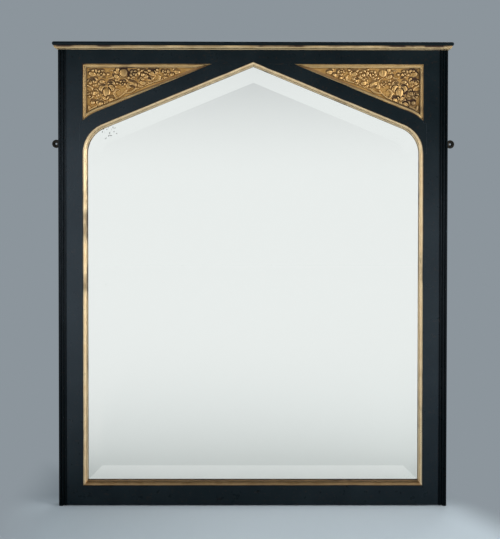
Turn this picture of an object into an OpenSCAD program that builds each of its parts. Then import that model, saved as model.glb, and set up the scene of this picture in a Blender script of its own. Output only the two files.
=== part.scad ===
// Overmantel mirror: an ebonised frame with a pointed-arch head, a bevelled plate in a gilt slip,
// two carved and gilt spandrels, a gilt cornice moulding under a black cap, and two wall plates.
// Millimetres. X runs across, Y from front to back, Z up from the feet.

/* [Overall] */
// Height from the feet to the top of the cornice cap
overall_h = 1219; // [1180:1:1260]
// Width over the two reeded mouldings
body_w = 1020; // [980:1:1060]
// Thickness of the frame's members, front to back
frame_t = 38; // [37:0.5:42]

/* [Frame] */
// Width of each stile without its reeded moulding
stile_w = 42.5; // [41:0.5:48]
// Radius of one reed
reed_r = 3.5; // [3:0.1:4]
// Reeds on each side
reeds = 3; // [2:1:3]
// Black face of the bottom rail under the slip
bottom_rail_h = 51; // [48:1:60]
// How far the feet reach below the rail
foot_h = 3; // [2:0.5:4]
// Black face between the cornice moulding and the spandrels
top_band = 37; // [35:1:42]
// Black band between the slip and the spandrels
brace_w = 36; // [30:1:38]
// Tenon thickness, and the same for the mortises
tenon_t = 12; // [10:1:13]

/* [Arch] */
// Slope of the arch's straight sides, in degrees
arch_slope = 22.45; // [21:0.05:24]
// Radius of the haunch, where slope and stile meet
haunch_r = 82; // [76:1:88]
// How far the arch's point cuts up into the top rail
point_notch = 5.5; // [4:0.5:8]

/* [Cornice] */
// Thickness of the cap
cap_t = 10; // [9:0.5:12]
// How far the cap stands out at the front and sides
cap_over = 14; // [13:0.5:18]
// Height and projection of the gilt moulding under it
cornice_h = 10; // [8:0.5:11]

/* [Slip and plate] */
// Face width of the gilt slip
slip_w = 10; // [9:0.5:12]
// Depth from the frame's face to the flat of the plate
plate_depth = 18; // [17:0.5:18.5]
// Thickness of the plate
plate_t = 6; // [5:0.5:6]
// Thickness left at the plate's edge
plate_edge_t = 3; // [2.5:0.5:3.5]
// Bevel that shows inside the slip
bevel_w = 38; // [30:1:44]

/* [Spandrels] */
// Width of the moulded border
border_w = 10; // [9:0.5:11]
// Depth from the frame's face to the carved ground
ground_depth = 11; // [10:0.5:12]
// Height of the carving above its ground
relief = 8; // [6:0.5:9]

/* [Back] */
// Thickness of the backboards
board_t = 10; // [8:0.5:10]

/* [Wall plates] */
// Height of the wall plates above the feet
ear_z = 954; // [900:1:1000]
// Radius of the round head
ear_r = 11; // [10:0.5:12]
// Radius of the screw hole in the head
ear_hole_r = 2.5; // [2:0.1:3]

/* [Hidden] */

ebony = "#1c2124";
gold = "#b8935a";
gold_low = "#8a6433";
silver = "#dfe4e3";
pine = "#c49a63";
bronze = "#5f5139";
iron = "#77797b";

// How far a cut runs past the face that it starts from
past = 1;

// Places across, from the middle outwards
reed_band = 2 * reed_r * reeds;
half_w = body_w / 2;
strip_x = half_w - reed_band;
open_x = strip_x - stile_w;

// Depths, from the frame's face back. The whole depth is centred on Y = 0
face_y = -(frame_t - cap_over) / 2;
board_y = frame_t - board_t;
tenon_y = 9;
panel_t = 10;

// Heights
cap_z = overall_h - cap_t;
cornice_z = cap_z - cornice_h;
rail_z = cornice_z - top_band;
sill_z = foot_h + bottom_rail_h;

// The arch: the line of the slip's outer edge, and its haunch
apex_z = rail_z + point_notch;
haunch_x = open_x - haunch_r;
spring_z = apex_z - open_x * tan(arch_slope) - haunch_r * tan((90 - arch_slope) / 2);
turn = 90 - arch_slope;

// Joints
tenon_l = 32;
top_tenon_z = rail_z + 6;
top_tenon_h = cap_z - 10 - top_tenon_z;
low_tenon_z = foot_h + 7;
low_tenon_h = 34;
brace_tenon_x = 30;
brace_tenon_w = 25;
brace_tenon_t = 10;
brace_tenon_h = 18;
housing = 8;
housing_h = floor(sqrt(pow(haunch_r + brace_w, 2) - pow(haunch_r, 2)) - 4);
tongue_l = 8;
tongue_t = 6;
tongue_y = 16;
rebate_w = 12;
peg_r = 4;
peg_y = 5;
peg_x = open_x + 15.5;
peg_zs = [top_tenon_z + 8, top_tenon_z + 23, low_tenon_z + 8, low_tenon_z + 26];

// Slip section: a fillet, a quarter round and a small fillet at the glass
slip_sink = 1;
slip_fillet = 1.5;
slip_quirk = 0.8;
slip_round = slip_w - 2 * slip_fillet;
sight_depth = 14;
plate_cover = 8;
plate_gap = slip_w - plate_cover;
bevel_full = bevel_w + plate_cover;
bevel_drop = plate_t - plate_edge_t;
slip_back = plate_depth + bevel_drop * bevel_w / bevel_full - 0.1;

// Cornice moulding: a fillet under a quarter round
cornice_fillet = 1;
cornice_r = cornice_h - cornice_fillet;
cap_nose_r = cap_t / 2;
cap_screw_xs = [-440, -220, 0, 220, 440];
cap_screw_l = 30;

// Border section, from the outside in: a fillet, a hollow, a flat with a bead, and a low rim
border_sink = 0.6;
border_fillet = border_w * 0.19;
border_hollow_r = border_w * 0.31;
border_flat_depth = border_sink + border_hollow_r;
border_bead_r = border_w * 0.1;
border_bead_x = border_w * 0.64;
border_rim_x = border_bead_x + border_bead_r;
border_rim_w = border_w * 0.14;
border_rim_depth = border_flat_depth + 1.5;
border_edge_depth = border_rim_depth + 1.3;
// Glue line between the turned and the straight length of the arch border, in degrees
glue_turn = 0.01;

// Glued blocks behind the plate: up the stiles, down the slopes and along the sill
block_edge = 1;
plate_block_l = 40;
plate_block_w = 9;
plate_block_zs = [170, 360, 550, 740, 900];
plate_block_slopes = [60, 190, 320];
plate_block_xs = [150, 350];
setting_x = 230;
setting_play = 0.2;

// Glued blocks behind the spandrel panels: along the rail and down the stiles
panel_block_l = 30;
panel_block_w = 8;
panel_block_xs = [190, 290, 380];
panel_block_drops = [25, 85];

// Backboards, each a node
boards = 5;
board_gap = 1;
board_span = 2 * (open_x + rebate_w);
board_w = (board_span - (boards - 1) * board_gap) / boards;
board_z0 = sill_z - rebate_w;
board_z1 = rail_z + rebate_w;
board_screw_dx = board_w * 0.33;

// Screws
screw_r = 1.75;
screw_head_r = 3.5;
screw_head_h = 2;
board_screw_l = 25;
plate_screw_l = 18;

// Wall plates
ear_t = 2.5;
ear_x = half_w + 12;
ear_tail_x = half_w - 44;
ear_tail_h = 22;
ear_neck_h = 16;
ear_neck_x = half_w + 3;
ear_sink_r = 4.6;
ear_sink_h = 1;
ear_screw_xs = [ear_tail_x + 7, ear_tail_x + 31];

// ---- Ways to place a shape ----

// Extrudes an outline drawn in X and Z from one depth to another
module slab(y0, y1) {
  translate([0, face_y + y1, 0])
    rotate([90, 0, 0])
      linear_extrude(y1 - y0)
        children();
}

// A block between two corners, its depths counted from the frame's face
module block(x0, x1, y0, y1, z0, z1) {
  translate([x0, face_y + y0, z0])
    cube([x1 - x0, y1 - y0, z1 - z0]);
}

// Runs a section along a straight line from a point in X and Z. The section's first axis points
// to the right of the heading, and its second is the depth
module along(p, heading, len) {
  translate([p[0], face_y, p[1]])
    rotate([0, 90 - heading, 0])
      linear_extrude(len)
        children();
}

// A round pin or hole that runs from one depth to another
module rod_y(x, z, r, y0, y1) {
  translate([x, face_y + y1, z])
    rotate([90, 0, 0])
      cylinder(h = y1 - y0, r = r, $fn = 48);
}

// Countersunk screw with its head flush at depth y, driven towards the front
module screw_y(x, z, y, len) {
  rod_y(x, z, screw_r, y - len, y);
  translate([x, face_y + y, z])
    rotate([90, 0, 0])
      cylinder(h = screw_head_h, r1 = screw_head_r, r2 = screw_r, $fn = 48);
}

// Parts are drawn for the right-hand side, and mirrored for the left
module on_side(side) {
  if (side < 0)
    mirror([1, 0, 0])
      children();
  else
    children();
}

// ---- Outlines of the arch, in X and Z ----

// Everything under the arch line, moved out by d from the slip's outer edge
module under_arch(d) {
  r = haunch_r + d;
  tx = haunch_x + r * cos(turn);
  tz = spring_z + r * sin(turn);
  top = tz + tx * tan(arch_slope);
  translate([haunch_x, spring_z])
    circle(r = r, $fn = 160);
  polygon([[tx, tz], [0, top], [0, sill_z], [haunch_x, sill_z], [haunch_x, spring_z]]);
  translate([haunch_x, sill_z])
    square([r, spring_z - sill_z]);
}

// The band between the slip and the spandrel, with the end that is housed in the stile
module brace_outline() {
  difference() {
    union() {
      intersection() {
        under_arch(brace_w);
        translate([0, spring_z])
          square([open_x, rail_z - spring_z]);
      }
      translate([open_x - past, spring_z])
        square([housing + past, housing_h]);
    }
    under_arch(0);
  }
}

// The spandrel's triangle, drawn in by d
module spandrel_outline(d) {
  difference() {
    translate([0, spring_z])
      square([open_x - d, rail_z - d - spring_z]);
    under_arch(brace_w + d);
  }
}

// Corners of the spandrel drawn in by d: at the point, at the stile and at the foot
function tip(d) = [(apex_z + (brace_w + d) / cos(arch_slope) - rail_z + d) / tan(arch_slope),
                   rail_z - d];
function corner(d) = [open_x - d, rail_z - d];
function foot(d) = [open_x - d,
                    spring_z + sqrt(pow(haunch_r + brace_w + d, 2) - pow(haunch_r - d, 2))];

// The plate's outline, drawn in by e from the slip's outer edge
function arch_side(e, steps) = [for (i = [0 : steps])
  [haunch_x + (haunch_r - e) * cos(turn * i / steps),
   spring_z + (haunch_r - e) * sin(turn * i / steps)]];
function arch_outline(e, steps) = concat(
  [[-(open_x - e), sill_z + e], [open_x - e, sill_z + e]],
  arch_side(e, steps),
  [[0, apex_z - e / cos(arch_slope)]],
  [for (i = [steps : -1 : 0]) [-arch_side(e, steps)[i][0], arch_side(e, steps)[i][1]]]);

// ---- Frame ----

module peg_holes(side) {
  for (z = peg_zs)
    rod_y(side * peg_x, z, peg_r, peg_y, frame_t);
}

module tenon_room(z, h) {
  block(open_x, open_x + tenon_l, tenon_y, tenon_y + tenon_t, z, z + h);
}

module wall_plate_seat() {
  block(ear_tail_x, half_w + past, frame_t - ear_t, frame_t + past, ear_z - ear_tail_h / 2,
        ear_z + ear_tail_h / 2);
  for (x = ear_screw_xs)
    rod_y(x, ear_z, screw_r, frame_t - plate_screw_l, frame_t);
}

module stile(side) {
  color(ebony)
    on_side(side)
      difference() {
        block(open_x, strip_x, 0, frame_t, foot_h, cap_z);
        // groove for the reeded moulding's tongue
        block(strip_x - tongue_l, strip_x + past, tongue_y, tongue_y + tongue_t, 0,
              overall_h);
        // rebate for the backboards
        block(open_x - past, open_x + rebate_w, board_y, frame_t + past, board_z0, board_z1);
        tenon_room(top_tenon_z, top_tenon_h);
        tenon_room(low_tenon_z, low_tenon_h);
        // housing for the end of the brace
        block(open_x - past, open_x + housing, -past, board_y, spring_z,
              spring_z + housing_h);
        peg_holes(1);
        wall_plate_seat();
      }
}

module rail_blank(z0, z1, tenon_z, tenon_h) {
  block(-open_x, open_x, 0, frame_t, z0, z1);
  for (side = [-1, 1])
    on_side(side)
      tenon_room(tenon_z, tenon_h);
}

module board_screw_holes(z) {
  for (i = [0 : boards - 1])
    for (dx = [-board_screw_dx, board_screw_dx])
      rod_y(board_x(i) + dx, z, screw_r, frame_t - board_screw_l, frame_t);
}

module top_rail() {
  color(ebony)
    difference() {
      rail_blank(rail_z, cap_z, top_tenon_z, top_tenon_h);
      // notch over the arch's point
      slab(-past, frame_t + past)
        polygon([[-(point_notch + past) / tan(arch_slope), rail_z - past], [0, apex_z],
                 [(point_notch + past) / tan(arch_slope), rail_z - past]]);
      block(-open_x - past, open_x + past, board_y, frame_t + past, rail_z - past, board_z1);
      for (side = [-1, 1]) {
        on_side(side)
          brace_tenon();
        peg_holes(side);
      }
      board_screw_holes(rail_z + rebate_w / 2);
      for (x = cap_screw_xs)
        translate([x, face_y + frame_t / 2, overall_h - cap_screw_l])
          cylinder(h = cap_screw_l, r = screw_r, $fn = 48);
    }
}

module bottom_rail() {
  color(ebony)
    difference() {
      rail_blank(foot_h, sill_z, low_tenon_z, low_tenon_h);
      block(-open_x - past, open_x + past, board_y, frame_t + past, board_z0, sill_z + past);
      for (side = [-1, 1])
        peg_holes(side);
      board_screw_holes(sill_z - rebate_w / 2);
    }
}

module brace_tenon() {
  block(brace_tenon_x, brace_tenon_x + brace_tenon_w, tenon_y, tenon_y + brace_tenon_t,
        rail_z - past, rail_z + brace_tenon_h);
}

// The arch brace is tenoned into the top rail and housed in the stile
module arch_brace(side) {
  color(ebony)
    on_side(side) {
      slab(0, board_y)
        brace_outline();
      brace_tenon();
    }
}

// Reeded moulding: a strip with a tongue, its reeds stopped under the cornice, and a small
// rounded foot under its outer half
module reeded_moulding(side) {
  foot_w = reed_band / 2;
  foot_r = 2;
  color(ebony)
    on_side(side)
      difference() {
        union() {
          block(strip_x, half_w, 0, frame_t, foot_h, cap_z);
          block(strip_x - tongue_l, strip_x, tongue_y, tongue_y + tongue_t, foot_h, cap_z);
          for (i = [0 : reeds - 1])
            translate([strip_x + (2 * i + 1) * reed_r, face_y, foot_h])
              cylinder(h = cornice_z - foot_h, r = reed_r, $fn = 48);
          slab(0, frame_t) {
            for (x = [half_w - foot_w + foot_r, half_w - foot_r])
              translate([x, foot_r])
                circle(r = foot_r, $fn = 32);
            translate([half_w - foot_w + foot_r, 0])
              square([foot_w - 2 * foot_r, foot_h]);
            translate([half_w - foot_w, foot_r])
              square([foot_w, foot_h - foot_r + past]);
          }
        }
        wall_plate_seat();
      }
}

// ---- Cornice ----

// Cap with a full round nose at the front and both sides
module cornice_cap() {
  nose_x = half_w + cap_over - cap_nose_r;
  nose_y = face_y - cap_over + cap_nose_r;
  nose_z = cap_z + cap_nose_r;
  depth = face_y + frame_t - nose_y;
  color(ebony)
    difference() {
      union() {
        translate([-nose_x, nose_y, cap_z])
          cube([2 * nose_x, depth, cap_t]);
        translate([-nose_x, nose_y, nose_z])
          rotate([0, 90, 0])
            cylinder(h = 2 * nose_x, r = cap_nose_r, $fn = 48);
        for (x = [-nose_x, nose_x])
          translate([x, nose_y, nose_z]) {
            rotate([-90, 0, 0])
              cylinder(h = depth, r = cap_nose_r, $fn = 48);
            sphere(r = cap_nose_r, $fn = 48);
          }
      }
      cap_screws_raw();
    }
}

// Section of the gilt moulding: first axis outwards, second up
module cornice_section() {
  square([cornice_fillet, cornice_h]);
  translate([cornice_fillet, cornice_h])
    intersection() {
      circle(r = cornice_r, $fn = 64);
      translate([0, -cornice_r])
        square(cornice_r);
    }
}

module cornice_front_moulding() {
  color(gold)
    intersection() {
      translate([-half_w - cornice_h, face_y, cornice_z])
        rotate([90, 0, 90])
          linear_extrude(2 * (half_w + cornice_h))
            mirror([1, 0])
              cornice_section();
      translate([0, face_y, cornice_z])
        linear_extrude(cornice_h)
          polygon([[-half_w, 0], [-half_w - cornice_h, -cornice_h],
                   [half_w + cornice_h, -cornice_h], [half_w, 0]]);
    }
}

module cornice_return(side) {
  color(gold)
    on_side(side)
      intersection() {
        slab(-cornice_h, frame_t)
          translate([half_w, cornice_z])
            cornice_section();
        translate([0, face_y, cornice_z])
          linear_extrude(cornice_h)
            polygon([[half_w, 0], [half_w + cornice_h, -cornice_h],
                     [half_w + cornice_h, frame_t], [half_w, frame_t]]);
      }
}

// ---- Slip ----

// Section of the slip: first axis inwards from its outer edge, second the depth
module slip_section() {
  round_depth = slip_sink + slip_quirk + slip_round;
  translate([0, slip_sink])
    square([slip_fillet, slip_back - slip_sink]);
  translate([slip_fillet, round_depth])
    intersection() {
      circle(r = slip_round, $fn = 64);
      translate([0, -slip_round])
        square(slip_round);
    }
  translate([0, round_depth])
    square([slip_fillet + slip_round, slip_back - round_depth]);
  translate([0, sight_depth])
    square([slip_w, slip_back - sight_depth]);
}

module side_slip(side) {
  color(gold)
    on_side(side)
      intersection() {
        along([open_x, spring_z], 270, spring_z - sill_z)
          slip_section();
        slab(0, frame_t)
          polygon([[open_x, sill_z], [open_x, spring_z], [open_x - slip_w, spring_z],
                   [open_x - slip_w, sill_z + slip_w]]);
      }
}

module bottom_slip() {
  color(gold)
    intersection() {
      along([open_x, sill_z], 180, 2 * open_x)
        slip_section();
      slab(0, frame_t)
        polygon([[-open_x, sill_z], [open_x, sill_z], [open_x - slip_w, sill_z + slip_w],
                 [slip_w - open_x, sill_z + slip_w]]);
    }
}

// The arch slip sweeps round the haunch and runs up the slope to a mitre at the point
module arch_slip(side) {
  slope_l = (haunch_x + haunch_r * cos(turn)) / cos(arch_slope);
  color(gold)
    on_side(side) {
      translate([haunch_x, face_y, spring_z])
        rotate([90, 0, 0])
          rotate_extrude(angle = turn, $fn = 160)
            translate([haunch_r, 0])
              rotate(180)
                slip_section();
      intersection() {
        along([0, apex_z], -arch_slope, slope_l)
          slip_section();
        slab(0, frame_t)
          translate([0, spring_z])
            square([open_x, apex_z - spring_z]);
      }
    }
}

// ---- Spandrels ----

module spandrel_panel(side) {
  color(gold_low)
    on_side(side)
      slab(ground_depth, ground_depth + panel_t)
        spandrel_outline(0);
}

// Section of the border: first axis inwards from its outer edge, second the depth
module border_section() {
  polygon([[0, border_sink], [border_fillet, border_sink], [border_fillet, border_flat_depth],
           [border_rim_x, border_flat_depth], [border_rim_x, border_rim_depth],
           [border_rim_x + border_rim_w, border_rim_depth], [border_w, border_edge_depth],
           [border_w, ground_depth], [0, ground_depth]]);
  translate([border_fillet, border_sink])
    difference() {
      square(border_hollow_r);
      translate([border_hollow_r, 0])
        circle(r = border_hollow_r, $fn = 64);
    }
  translate([border_bead_x, border_flat_depth])
    intersection() {
      circle(r = border_bead_r, $fn = 64);
      translate([-border_bead_r, -border_bead_r])
        square([2 * border_bead_r, border_bead_r]);
    }
}

module spandrel_top_border(side) {
  color(gold)
    on_side(side)
      intersection() {
        along(tip(0), 0, open_x - tip(0)[0])
          border_section();
        slab(0, board_y)
          polygon([tip(0), corner(0), corner(border_w), tip(border_w)]);
      }
}

module spandrel_side_border(side) {
  color(gold)
    on_side(side)
      intersection() {
        along(corner(0), 270, rail_z - foot(0)[1])
          border_section();
        slab(0, board_y)
          polygon([corner(0), foot(0), foot(border_w), corner(border_w)]);
      }
}

// What the mitres at its point and its foot leave of the border that follows the arch
module arch_border_room() {
  slab(0, board_y)
    polygon([tip(0), tip(border_w), corner(border_w), foot(border_w), foot(0)]);
}

// The border that follows the arch: a turned length at the haunch and a straight one above it
module spandrel_arch_border(side) {
  r = haunch_r + brace_w;
  start = [haunch_x + r * cos(turn), spring_z + r * sin(turn)];
  color(gold)
    on_side(side) {
      intersection() {
        translate([haunch_x, face_y, spring_z])
          rotate([90, 0, 0])
            rotate_extrude(angle = turn - glue_turn, $fn = 160)
              translate([r, 0])
                mirror([0, 1])
                  border_section();
        arch_border_room();
      }
      intersection() {
        along(start, 180 - arch_slope, (start[0] - tip(0)[0]) / cos(arch_slope))
          border_section();
        arch_border_room();
      }
    }
}

// ---- Carving. Places are counted in from the stile and down from the top rail ----

// Stems and the curled tips that spring from them, each a list of places
stems = [
  [[20, 119.6], [32.2, 112.2], [55.6, 103.6], [84.2, 92.8], [104, 80], [116, 66], [120, 52]],
  [[122, 72], [142, 64], [158, 57], [176, 50], [196, 44], [214.6, 38.4], [232.2, 32.6], [246, 25]],
  [[13, 56], [22.6, 60.4], [28, 71], [28, 83], [21, 92]],
  [[86, 90], [60, 98], [40, 92], [36, 76], [44, 60]],
  [[119.6, 52], [113.6, 39.4], [100, 34], [88, 38]],
  [[66, 37], [76, 36], [83, 28], [80, 18], [70, 17]],
  [[96, 92], [86, 84], [82, 74], [90, 66], [97, 70]],
  [[15, 107], [18, 117], [27, 118.8]],
  [[184, 47], [198.2, 42.2], [202, 32], [196, 27]],
  [[112, 76], [128, 72], [138, 62], [132, 54]]
];

// Leaves: place in, place down, size, heading in degrees, lobes
leaves = [
  [35.2, 28.2, 18.3, 195, 3], [35.8, 47.2, 14.8, 187, 3], [39.4, 73.4, 13.8, 165, 3],
  [49, 86, 15, 20, 3], [76.6, 57.4, 13.8, 320, 3], [62, 57, 25, 88, 5], [95.8, 37.4, 14.1, 215, 3], [118.4, 45.6, 21.1, 28, 3],
  [92, 24, 13, 265, 3], [146, 47, 16, 12, 3], [169.6, 42.6, 14, 345, 3], [190, 31, 17, 212, 3],
  [210.6, 32, 11.9, 25, 3], [235.8, 19.4, 16, 4, 3], [38.2, 108, 13.7, 335, 3], [66.6, 97.8, 13.6, 340, 3],
  [226.6, 33, 12.1, 330, 3], [17, 72, 11, 100, 3], [21, 42.7, 10.9, 100, 3]
];

// Flowers: place in, place down, radius, petals
flowers = [[47.6, 25.4, 10.5, 5], [133, 26, 10.5, 5], [103.4, 52.4, 9.1, 5], [157, 28, 14, 6],
           [215.2, 19.4, 10.8, 4]];

// Single lobes: place in, place down, length, heading in degrees, half width
buds = [[107, 8, 26, 92, 10.5], [57.6, 45.8, 14, 180, 5]];

// Berries: place in, place down, radius
berries = [[26, 101, 6], [66, 27, 4], [120.4, 36.6, 4.2], [174, 17, 4.4], [195, 15, 3.8],
           [146, 14, 3.6], [26.2, 17.4, 4], [90.2, 51.4, 3.7], [18, 85, 3.4]];

// Proportions of the carved forms
stem_r = 3.2;
stem_top_r = 1.8;
stem_rise = relief * 0.55;
leaf_rise = relief * 0.85;
low_rise = relief * 0.75;
berry_rise = relief * 0.9;
lobe_middle = 0.58;
mound_crown = 0.92;
// How far a carved form starts below the ground it stands on
sunk = 0.363;
// How much higher each stem is than the one before it
stem_gain = 0.112;
three_spread = [-60, 60];
five_spread = [-112, -58, 58, 112];
// Length and half width against the leaf's size or the flower's radius
side_lobe = [0.92, 0.36];
mid_lobe = [1.18, 0.4];
petal = [1.1, 0.46];
boss = 0.376;

module carve_at(p) {
  translate([open_x - p[0], face_y + ground_depth, rail_z - p[1]])
    rotate([90, 0, 0])
      children();
}

// A mound over an oval: a foot sunk in the ground, a steep shoulder and a low peak
module mound(reach_x, reach_y, rise) {
  n = 7;
  rings = [[1, -sunk], [0.85, 0.7 * rise], [0.48, mound_crown * rise]];
  pts = [for (k = [0 : 2]) for (i = [0 : n - 1]) let (a = 360 * (i + k / 2) / n)
    [reach_x * rings[k][0] * cos(a), reach_y * rings[k][0] * sin(a), rings[k][1]]];
  peak = [0, 0, rise];
  walls = [for (k = [0, n]) for (i = [0 : n - 1]) let (j = (i + 1) % n) each
    [[i + k, i + k + n, j + k], [j + k, i + k + n, j + k + n]]];
  foot = [for (i = [0 : n - 1]) i];
  crown = [for (i = [0 : n - 1]) [2 * n + i, 3 * n, 2 * n + (i + 1) % n]];
  polyhedron(points = concat(pts, [peak]), faces = concat([foot], crown, walls), convexity = 2);
}

// One plump lobe that leaves its root at a heading
module lobe(heading, len, half, rise) {
  rotate(180 - heading)
    translate([lobe_middle * len, 0, 0])
      mound((1 - lobe_middle) * len, half, rise);
}

module leaf(size, heading, lobes) {
  for (spread = lobes == 5 ? five_spread : three_spread)
    lobe(heading + spread, size * side_lobe[0], size * side_lobe[1], low_rise);
  lobe(heading, size * mid_lobe[0], size * mid_lobe[1], leaf_rise);
}

module flower(r, petals) {
  for (i = [0 : petals - 1])
    lobe(90 + 360 * i / petals, r * petal[0], r * petal[1], low_rise);
  mound(r * boss, r * boss, berry_rise);
}

module stem(places, rise) {
  for (i = [0 : len(places) - 2])
    hull()
      for (k = [0, 1])
        carve_at(places[i + k])
          translate([0, 0, -sunk])
            cylinder(h = rise + sunk, r1 = stem_r, r2 = stem_top_r, $fn = 6);
}

module spandrel_foliage(side) {
  color(gold)
    on_side(side)
      intersection() {
        slab(0, ground_depth)
          spandrel_outline(border_w);
        union() {
          for (i = [0 : len(stems) - 1])
            stem(stems[i], stem_rise + i * stem_gain);
          for (l = leaves)
            carve_at(l)
              leaf(l[2], l[3], l[4]);
          for (f = flowers)
            carve_at(f)
              flower(f[2], f[3]);
          for (b = buds)
            carve_at(b)
              lobe(b[3], b[2], b[4], leaf_rise);
          for (b = berries)
            carve_at(b)
              mound(b[2], b[2], berry_rise);
        }
      }
}

// ---- Plate, blocks and back ----

// The bevel falls from the flat of the plate to its thin edge, and mitres at the corners
module mirror_plate() {
  color(silver)
    hull() {
      slab(plate_depth + bevel_drop, plate_depth + plate_t)
        polygon(arch_outline(plate_gap, 16));
      slab(plate_depth, plate_depth + plate_t)
        polygon(arch_outline(plate_gap + bevel_full, 16));
    }
}

// Section of a glued block: first axis in from the frame's edge, second the depth
module block_section(y0, w) {
  polygon([[0, y0], [w, y0], [w, y0 + block_edge], [w / 3, board_y], [0, board_y]]);
}

// Blocks behind the plate's edges, and two setting blocks that it stands on
module plate_blocks() {
  plate_back = plate_depth + plate_t;
  color(pine)
    for (side = [-1, 1])
      on_side(side) {
        for (z = plate_block_zs)
          along([open_x, z], 270, plate_block_l)
            block_section(plate_back, plate_block_w);
        for (s = plate_block_slopes)
          along([s * cos(arch_slope), apex_z - s * sin(arch_slope)], -arch_slope,
                plate_block_l)
            block_section(plate_back, plate_block_w);
        for (x = plate_block_xs)
          along([x, sill_z], 180, plate_block_l)
            block_section(plate_back, plate_block_w);
        block(setting_x, setting_x + plate_block_l, slip_back + setting_play, plate_back,
              sill_z, sill_z + plate_gap);
      }
}

module spandrel_blocks() {
  panel_back = ground_depth + panel_t;
  color(pine)
    for (side = [-1, 1])
      on_side(side) {
        for (x = panel_block_xs)
          along([x, rail_z], 0, panel_block_l)
            block_section(panel_back, panel_block_w);
        for (drop = panel_block_drops)
          along([open_x, rail_z - drop], 270, panel_block_l)
            block_section(panel_back, panel_block_w);
      }
}

function board_x(i) = -board_span / 2 + board_w / 2 + i * (board_w + board_gap);

module backboard(i) {
  color(pine)
    difference() {
      block(board_x(i) - board_w / 2, board_x(i) + board_w / 2, board_y, frame_t,
            board_z0, board_z1);
      backboard_screws_raw(i);
    }
}

module backboard_screws_raw(i) {
  for (z = [sill_z - rebate_w / 2, rail_z + rebate_w / 2])
    for (dx = [-board_screw_dx, board_screw_dx])
      screw_y(board_x(i) + dx, z, frame_t, board_screw_l);
}

module backboard_screws() {
  color(iron)
    for (i = [0 : boards - 1])
      backboard_screws_raw(i);
}

// ---- Wall plates, pegs and cap screws ----

module wall_plate(side) {
  color(bronze)
    on_side(side)
      difference() {
        slab(frame_t - ear_t, frame_t) {
          translate([ear_tail_x, ear_z - ear_tail_h / 2])
            square([half_w - ear_tail_x, ear_tail_h]);
          polygon([[half_w, ear_z - ear_tail_h / 2], [ear_neck_x, ear_z - ear_neck_h / 2],
                   [ear_x, ear_z - ear_neck_h / 2], [ear_x, ear_z + ear_neck_h / 2],
                   [ear_neck_x, ear_z + ear_neck_h / 2], [half_w, ear_z + ear_tail_h / 2]]);
          translate([ear_x, ear_z])
            circle(r = ear_r, $fn = 64);
        }
        rod_y(ear_x, ear_z, ear_hole_r, frame_t - ear_t - past, frame_t + past);
        // countersink on the front, for the screw into the wall
        translate([ear_x, face_y + frame_t - ear_t, ear_z])
          rotate([-90, 0, 0])
            cylinder(h = ear_sink_h, r1 = ear_sink_r, r2 = ear_hole_r, $fn = 48);
        wall_plate_screws_raw();
      }
}

module wall_plate_screws_raw() {
  for (x = ear_screw_xs)
    screw_y(x, ear_z, frame_t, plate_screw_l);
}

module wall_plate_screws() {
  color(iron)
    for (side = [-1, 1])
      on_side(side)
        wall_plate_screws_raw();
}

module tenon_pegs() {
  color(pine)
    for (side = [-1, 1])
      peg_holes(side);
}

module cap_screws_raw() {
  for (x = cap_screw_xs)
    translate([x, face_y + frame_t / 2, overall_h - cap_screw_l]) {
      cylinder(h = cap_screw_l, r = screw_r, $fn = 48);
      translate([0, 0, cap_screw_l - screw_head_h])
        cylinder(h = screw_head_h, r1 = screw_r, r2 = screw_head_r, $fn = 48);
    }
}

module cap_screws() {
  color(iron)
    cap_screws_raw();
}

stile(-1);  // left_stile
stile(1);  // right_stile
top_rail();
bottom_rail();
arch_brace(-1);  // left_arch_brace
arch_brace(1);  // right_arch_brace
reeded_moulding(-1);  // left_reeded_moulding
reeded_moulding(1);  // right_reeded_moulding
cornice_cap();
cornice_front_moulding();
cornice_return(-1);  // cornice_left_return
cornice_return(1);  // cornice_right_return
side_slip(-1);  // left_slip
side_slip(1);  // right_slip
bottom_slip();
arch_slip(-1);  // left_arch_slip
arch_slip(1);  // right_arch_slip
spandrel_panel(-1);  // left_spandrel_panel
spandrel_top_border(-1);  // left_spandrel_top_border
spandrel_side_border(-1);  // left_spandrel_side_border
spandrel_arch_border(-1);  // left_spandrel_arch_border
spandrel_foliage(-1);  // left_spandrel_foliage
spandrel_panel(1);  // right_spandrel_panel
spandrel_top_border(1);  // right_spandrel_top_border
spandrel_side_border(1);  // right_spandrel_side_border
spandrel_arch_border(1);  // right_spandrel_arch_border
spandrel_foliage(1);  // right_spandrel_foliage
mirror_plate();
plate_blocks();
spandrel_blocks();
backboard(0);  // backboard_1
backboard(1);  // backboard_2
backboard(2);  // backboard_3
backboard(3);  // backboard_4
backboard(4);  // backboard_5
backboard_screws();
wall_plate(-1);  // left_wall_plate
wall_plate(1);  // right_wall_plate
wall_plate_screws();
tenon_pegs();
cap_screws();
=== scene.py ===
"""The looks of an overmantel mirror.

An ebonised frame with reeded edges carries a bevelled plate with a pointed-arch head, a gilt slip,
a gilt cornice and two spandrels carved with vine and gilt. Pine boards close the back, and two
brass plates hold it to a wall. X runs across, Y from front to back and Z up, in metres.
"""
import logging
import math
from collections.abc import Callable, Iterator
from contextlib import contextmanager
from dataclasses import dataclass
from enum import Enum
from functools import partial
from typing import Any

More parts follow.
